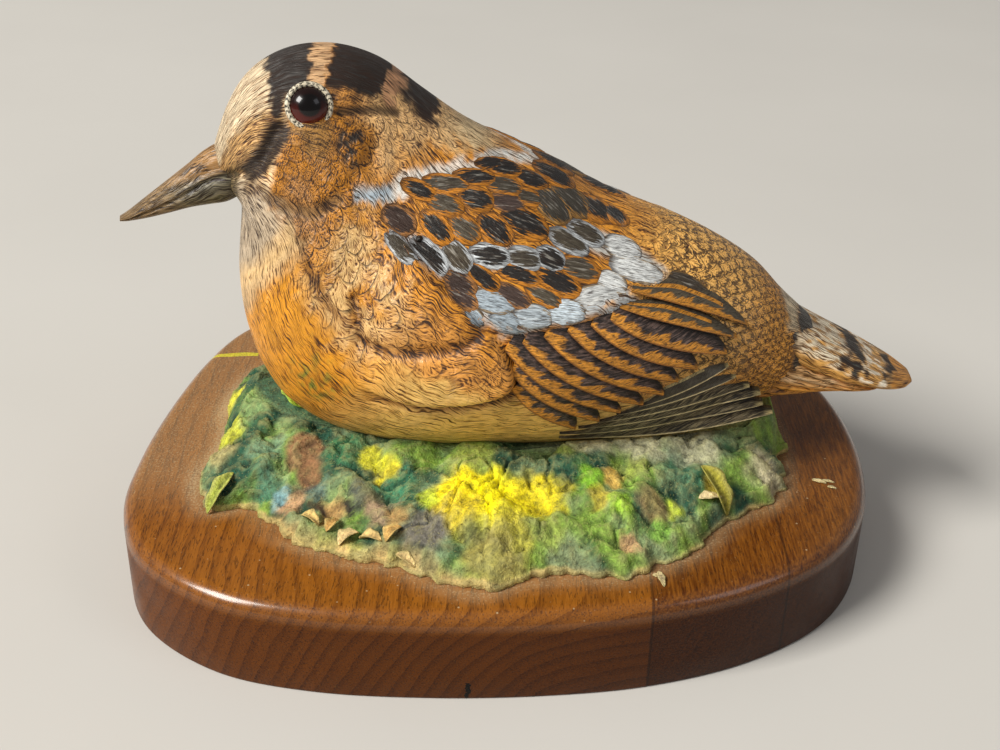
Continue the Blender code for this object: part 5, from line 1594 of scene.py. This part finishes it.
def eye_ball(name, side, node):
    """A ball made of rings about its own axis of sight."""
    centre, look = eye_frame(side)
    turn = look.to_track_quat("Z", "Y")
    polar = np.linspace(0.01, math.pi - 0.01, 48)
    round_ = np.linspace(0, 2 * math.pi, 64, endpoint=False)
    points, facing = [], []
    for p in polar:
        for a in round_:
            local = Vector((math.sin(p) * math.cos(a), math.sin(p) * math.sin(a), math.cos(p)))
            points.append(centre + turn @ local * EYE_RADIUS)
            facing.append((math.sin(p) * math.cos(a), math.sin(p) * math.sin(a), p / math.pi))
    ball = new_piece(name, points, ring_faces(48, 64), None, "eye_glass", node)
    keep(ball, "facing", facing)
    return ball


def lid_ring(side):
    """Points and faces of the raised ring round an eye."""
    centre, look = eye_frame(side)
    turn = look.to_track_quat("Z", "Y")
    middle = centre + look * (EYE_SINK - 0.1)
    points, places = [], []
    for i in range(120):
        a = 2 * math.pi * i / 120
        for j in range(14):
            b = 2 * math.pi * j / 14
            r = LID_RADIUS + LID_THICK * math.cos(b)
            points.append(middle + turn @ Vector((r * math.cos(a), r * math.sin(a),
                                                  LID_THICK * math.sin(b))))
            places.append((a, b, side))
    faces = [(i * 14 + j, (i + 1) % 120 * 14 + j, (i + 1) % 120 * 14 + (j + 1) % 14, i * 14 + (j + 1) % 14)
             for i in range(120) for j in range(14)]
    return points, faces, places


left_ball = eye_ball("left_eye_glass", -1, "left_eye")
right_ball = eye_ball("right_eye_glass", 1, "right_eye")
lid_points, lid_faces, lid_places = [], [], []
for side in (-1, 1):
    points, faces, places = lid_ring(side)
    lid_faces += [tuple(k + len(lid_points) for k in f) for f in faces]
    lid_points += points
    lid_places += places
lids = new_piece("eye_lids", lid_points, lid_faces, None, "painted_wood", "bird")
keep(lids, "place", lid_places)
# %% [markdown]
# ## Flight feathers' paint
#
# Nearly black-brown webs with a saw-toothed orange band along the proud lower edge of the
# secondaries, and a thin cream line along the edge of the primaries. The upper part of each
# blade, where it runs in under the one above, is darkened as painted shade.

# %% Blade finish
def blade_paint(name, web_codes, band_code, band_width, tooth, edge_code, first_code):
    """Oil paint for long blades, from the place kept across and along each one."""
    material, tree, shader = new_material(name)
    leaf = add(tree, "Attribute", attribute_name="leaf")
    at = add(tree, "SeparateXYZ", leaf.outputs["Vector"])
    seed = add(tree, "Math MULTIPLY", at.outputs["Z"], 7.3)
    barb_run = add(tree, "Math MULTIPLY", at.outputs["Y"], 34.0)
    barb_run = add(tree, "Math MULTIPLY_ADD", at.outputs["X"], -3.6, barb_run)
    barb_place = add(tree, "CombineXYZ", barb_run, at.outputs["X"], seed)
    barbs = add(tree, "TexNoise", {0: barb_place, "Scale": 1.5, "Detail": 3.0, "Roughness": 0.6})
    fine = add(tree, "TexNoise", {0: barb_place, "Scale": 3.6, "Detail": 2.0})
    first = add(tree, "Math LESS_THAN", at.outputs["Z"], 1.5)
    teeth = add(tree, "TexNoise", {0: barb_place, "Scale": 0.34, "Detail": 3.0, "Roughness": 0.55})
    edge = add(tree, "MapRange", teeth, 0.3, 0.7, band_width - tooth, band_width + tooth)
    inside = add(tree, "Math SUBTRACT", edge, at.outputs["X"])
    in_band = add(tree, "MapRange", inside, -0.06, 0.14)
    tip = add(tree, "MapRange", at.outputs["Y"], 0.955, 0.985)
    in_band = add(tree, "Math MAXIMUM", in_band, tip)
    from_stripe = add(tree, "Math COMPARE", at.outputs["X"], 0.42, 0.16)
    inner = add(tree, "Math LESS_THAN", at.outputs["Y"], 0.75)
    stripe = add(tree, "Math MULTIPLY", from_stripe, inner)
    stripe = add(tree, "Math MULTIPLY", stripe, first)
    in_band = add(tree, "Math MAXIMUM", in_band, stripe)
    web = add(tree, "MapRange", barbs, 0.42, 0.62)
    web = add(tree, "Mix RGBA", {0: web, 6: linear(web_codes[0]), 7: linear(web_codes[1])})
    web = add(tree, "Mix RGBA", {0: first, 6: web, 7: linear(first_code)})
    banded = add(tree, "Mix RGBA", {0: in_band, 6: web, 7: linear(band_code)})
    burnt = add(tree, "MapRange", fine, 0.47, 0.38, 0.0, 0.8)
    lined = add(tree, "Mix RGBA", {0: burnt, 6: banded, 7: linear(BURNT_AND_SHADE)})
    # Painted shade: the upper part of each blade is darkened towards black, less on the first blades.
    upper = add(tree, "MapRange", at.outputs["X"], 0.15, 0.7, 0.0, 0.85)
    bare = add(tree, "Math MULTIPLY_ADD", first, -0.75, 1.0)
    upper = add(tree, "Math MULTIPLY", upper, bare)
    shaded = add(tree, "Mix RGBA", {0: upper, 6: lined, 7: linear("0E0906")})
    lit_edge = add(tree, "MapRange", at.outputs["X"], -0.82, -0.95, 0.0, 0.85)
    edged = add(tree, "Mix RGBA", {0: lit_edge, 6: shaded, 7: linear(edge_code)})
    tone = add(tree, "MapRange", barbs, 0.35, 0.65, 0.65, 1.3)
    toned = add(tree, "VectorMath SCALE", {0: edged, 3: tone})
    relief = add(tree, "Math MULTIPLY_ADD", fine, 0.8, barbs)
    bump = add(tree, "Bump", {"Strength": 1.0, "Distance": 0.5 * MM, "Height": relief})
    feed(shader, {"Base Color": toned, "Normal": bump, "Roughness": 0.45, "IOR": 1.5})
    return material


wing_blades.data.materials.append(blade_paint("oil_paint_on_secondaries", ("201818", "6A564E"), "DC9430",
                                              -0.24, 0.5,
                                              "7A4814", "5C5342"))
fan_blades.data.materials.append(blade_paint("oil_paint_on_primaries", ("1A140C", "8C7E5E"), "C8B47C",
                                             -0.86, 0.08,
                                             "F0DCA8", "4A4436"))

# %% [markdown]
# ## Lids and glass eyes
#
# Taxidermist's eyes are half balls of glass, painted on the back. The lower half of the dark red
# iris is painted lighter, as painted light for the light that falls in from above. Glass has an
# index of 1.52, and a polish that mirrors the window. The ring of the lid is cream with thin black
# cuts across.

# %% Lid finish
LID_CUTS = 24.0
lid_paint, tree, shader = new_material("cream_paint_with_black_cuts")
place = add(tree, "Attribute", attribute_name="place")
part = add(tree, "SeparateXYZ", place.outputs["Vector"])
bent = add(tree, "TexNoise", {0: place.outputs["Vector"], "Scale": 2.6, "Detail": 2.0})
turns = add(tree, "Math MULTIPLY", part.outputs["X"], LID_CUTS)
turns = add(tree, "Math MULTIPLY_ADD", bent, 16.0, turns)
beat = add(tree, "Math SINE", turns)
black = add(tree, "MapRange", beat, 0.35, 0.8)
cream = add(tree, "Mix RGBA", {0: bent, 6: linear("CDBB94"), 7: linear("F6EFDC")})
painted = add(tree, "Mix RGBA", {0: black, 6: cream, 7: linear("2A241C")})
bump = add(tree, "Bump", {"Strength": 1.0, "Distance": -0.2 * MM, "Height": black})
feed(shader, {"Base Color": painted, "Normal": bump, "Roughness": 0.45})
lids.data.materials.append(lid_paint)

# %% Glass finish
glass, tree, shader = new_material("polished_eye_glass")
facing = add(tree, "Attribute", attribute_name="facing")
part = add(tree, "SeparateXYZ", facing.outputs["Vector"])
# Painted light: the lower half of the iris is painted a lighter red than the upper half.
lower = add(tree, "MapRange", part.outputs["Y"], 0.2, -0.6)
iris = add(tree, "Mix RGBA", {0: lower, 6: linear("180402"), 7: linear("58140A")})
pupil = add(tree, "MapRange", part.outputs["Z"], 0.15, 0.19)
painted = add(tree, "Mix RGBA", {0: pupil, 6: linear("050202"), 7: iris})
feed(shader, {"Base Color": painted, "Roughness": 0.25, "Specular IOR Level": 0.2, "Coat Weight": 0.4,
              "Coat Roughness": 0.02, "Coat IOR": 1.52})
for eye in (left_ball, right_ball):
    eye.data.materials.append(glass)
# %% [markdown]
# ## Finish
#
# The colours are shown with the standard view transform.

# %% Finish
bpy.context.scene.view_settings.view_transform = "Standard"
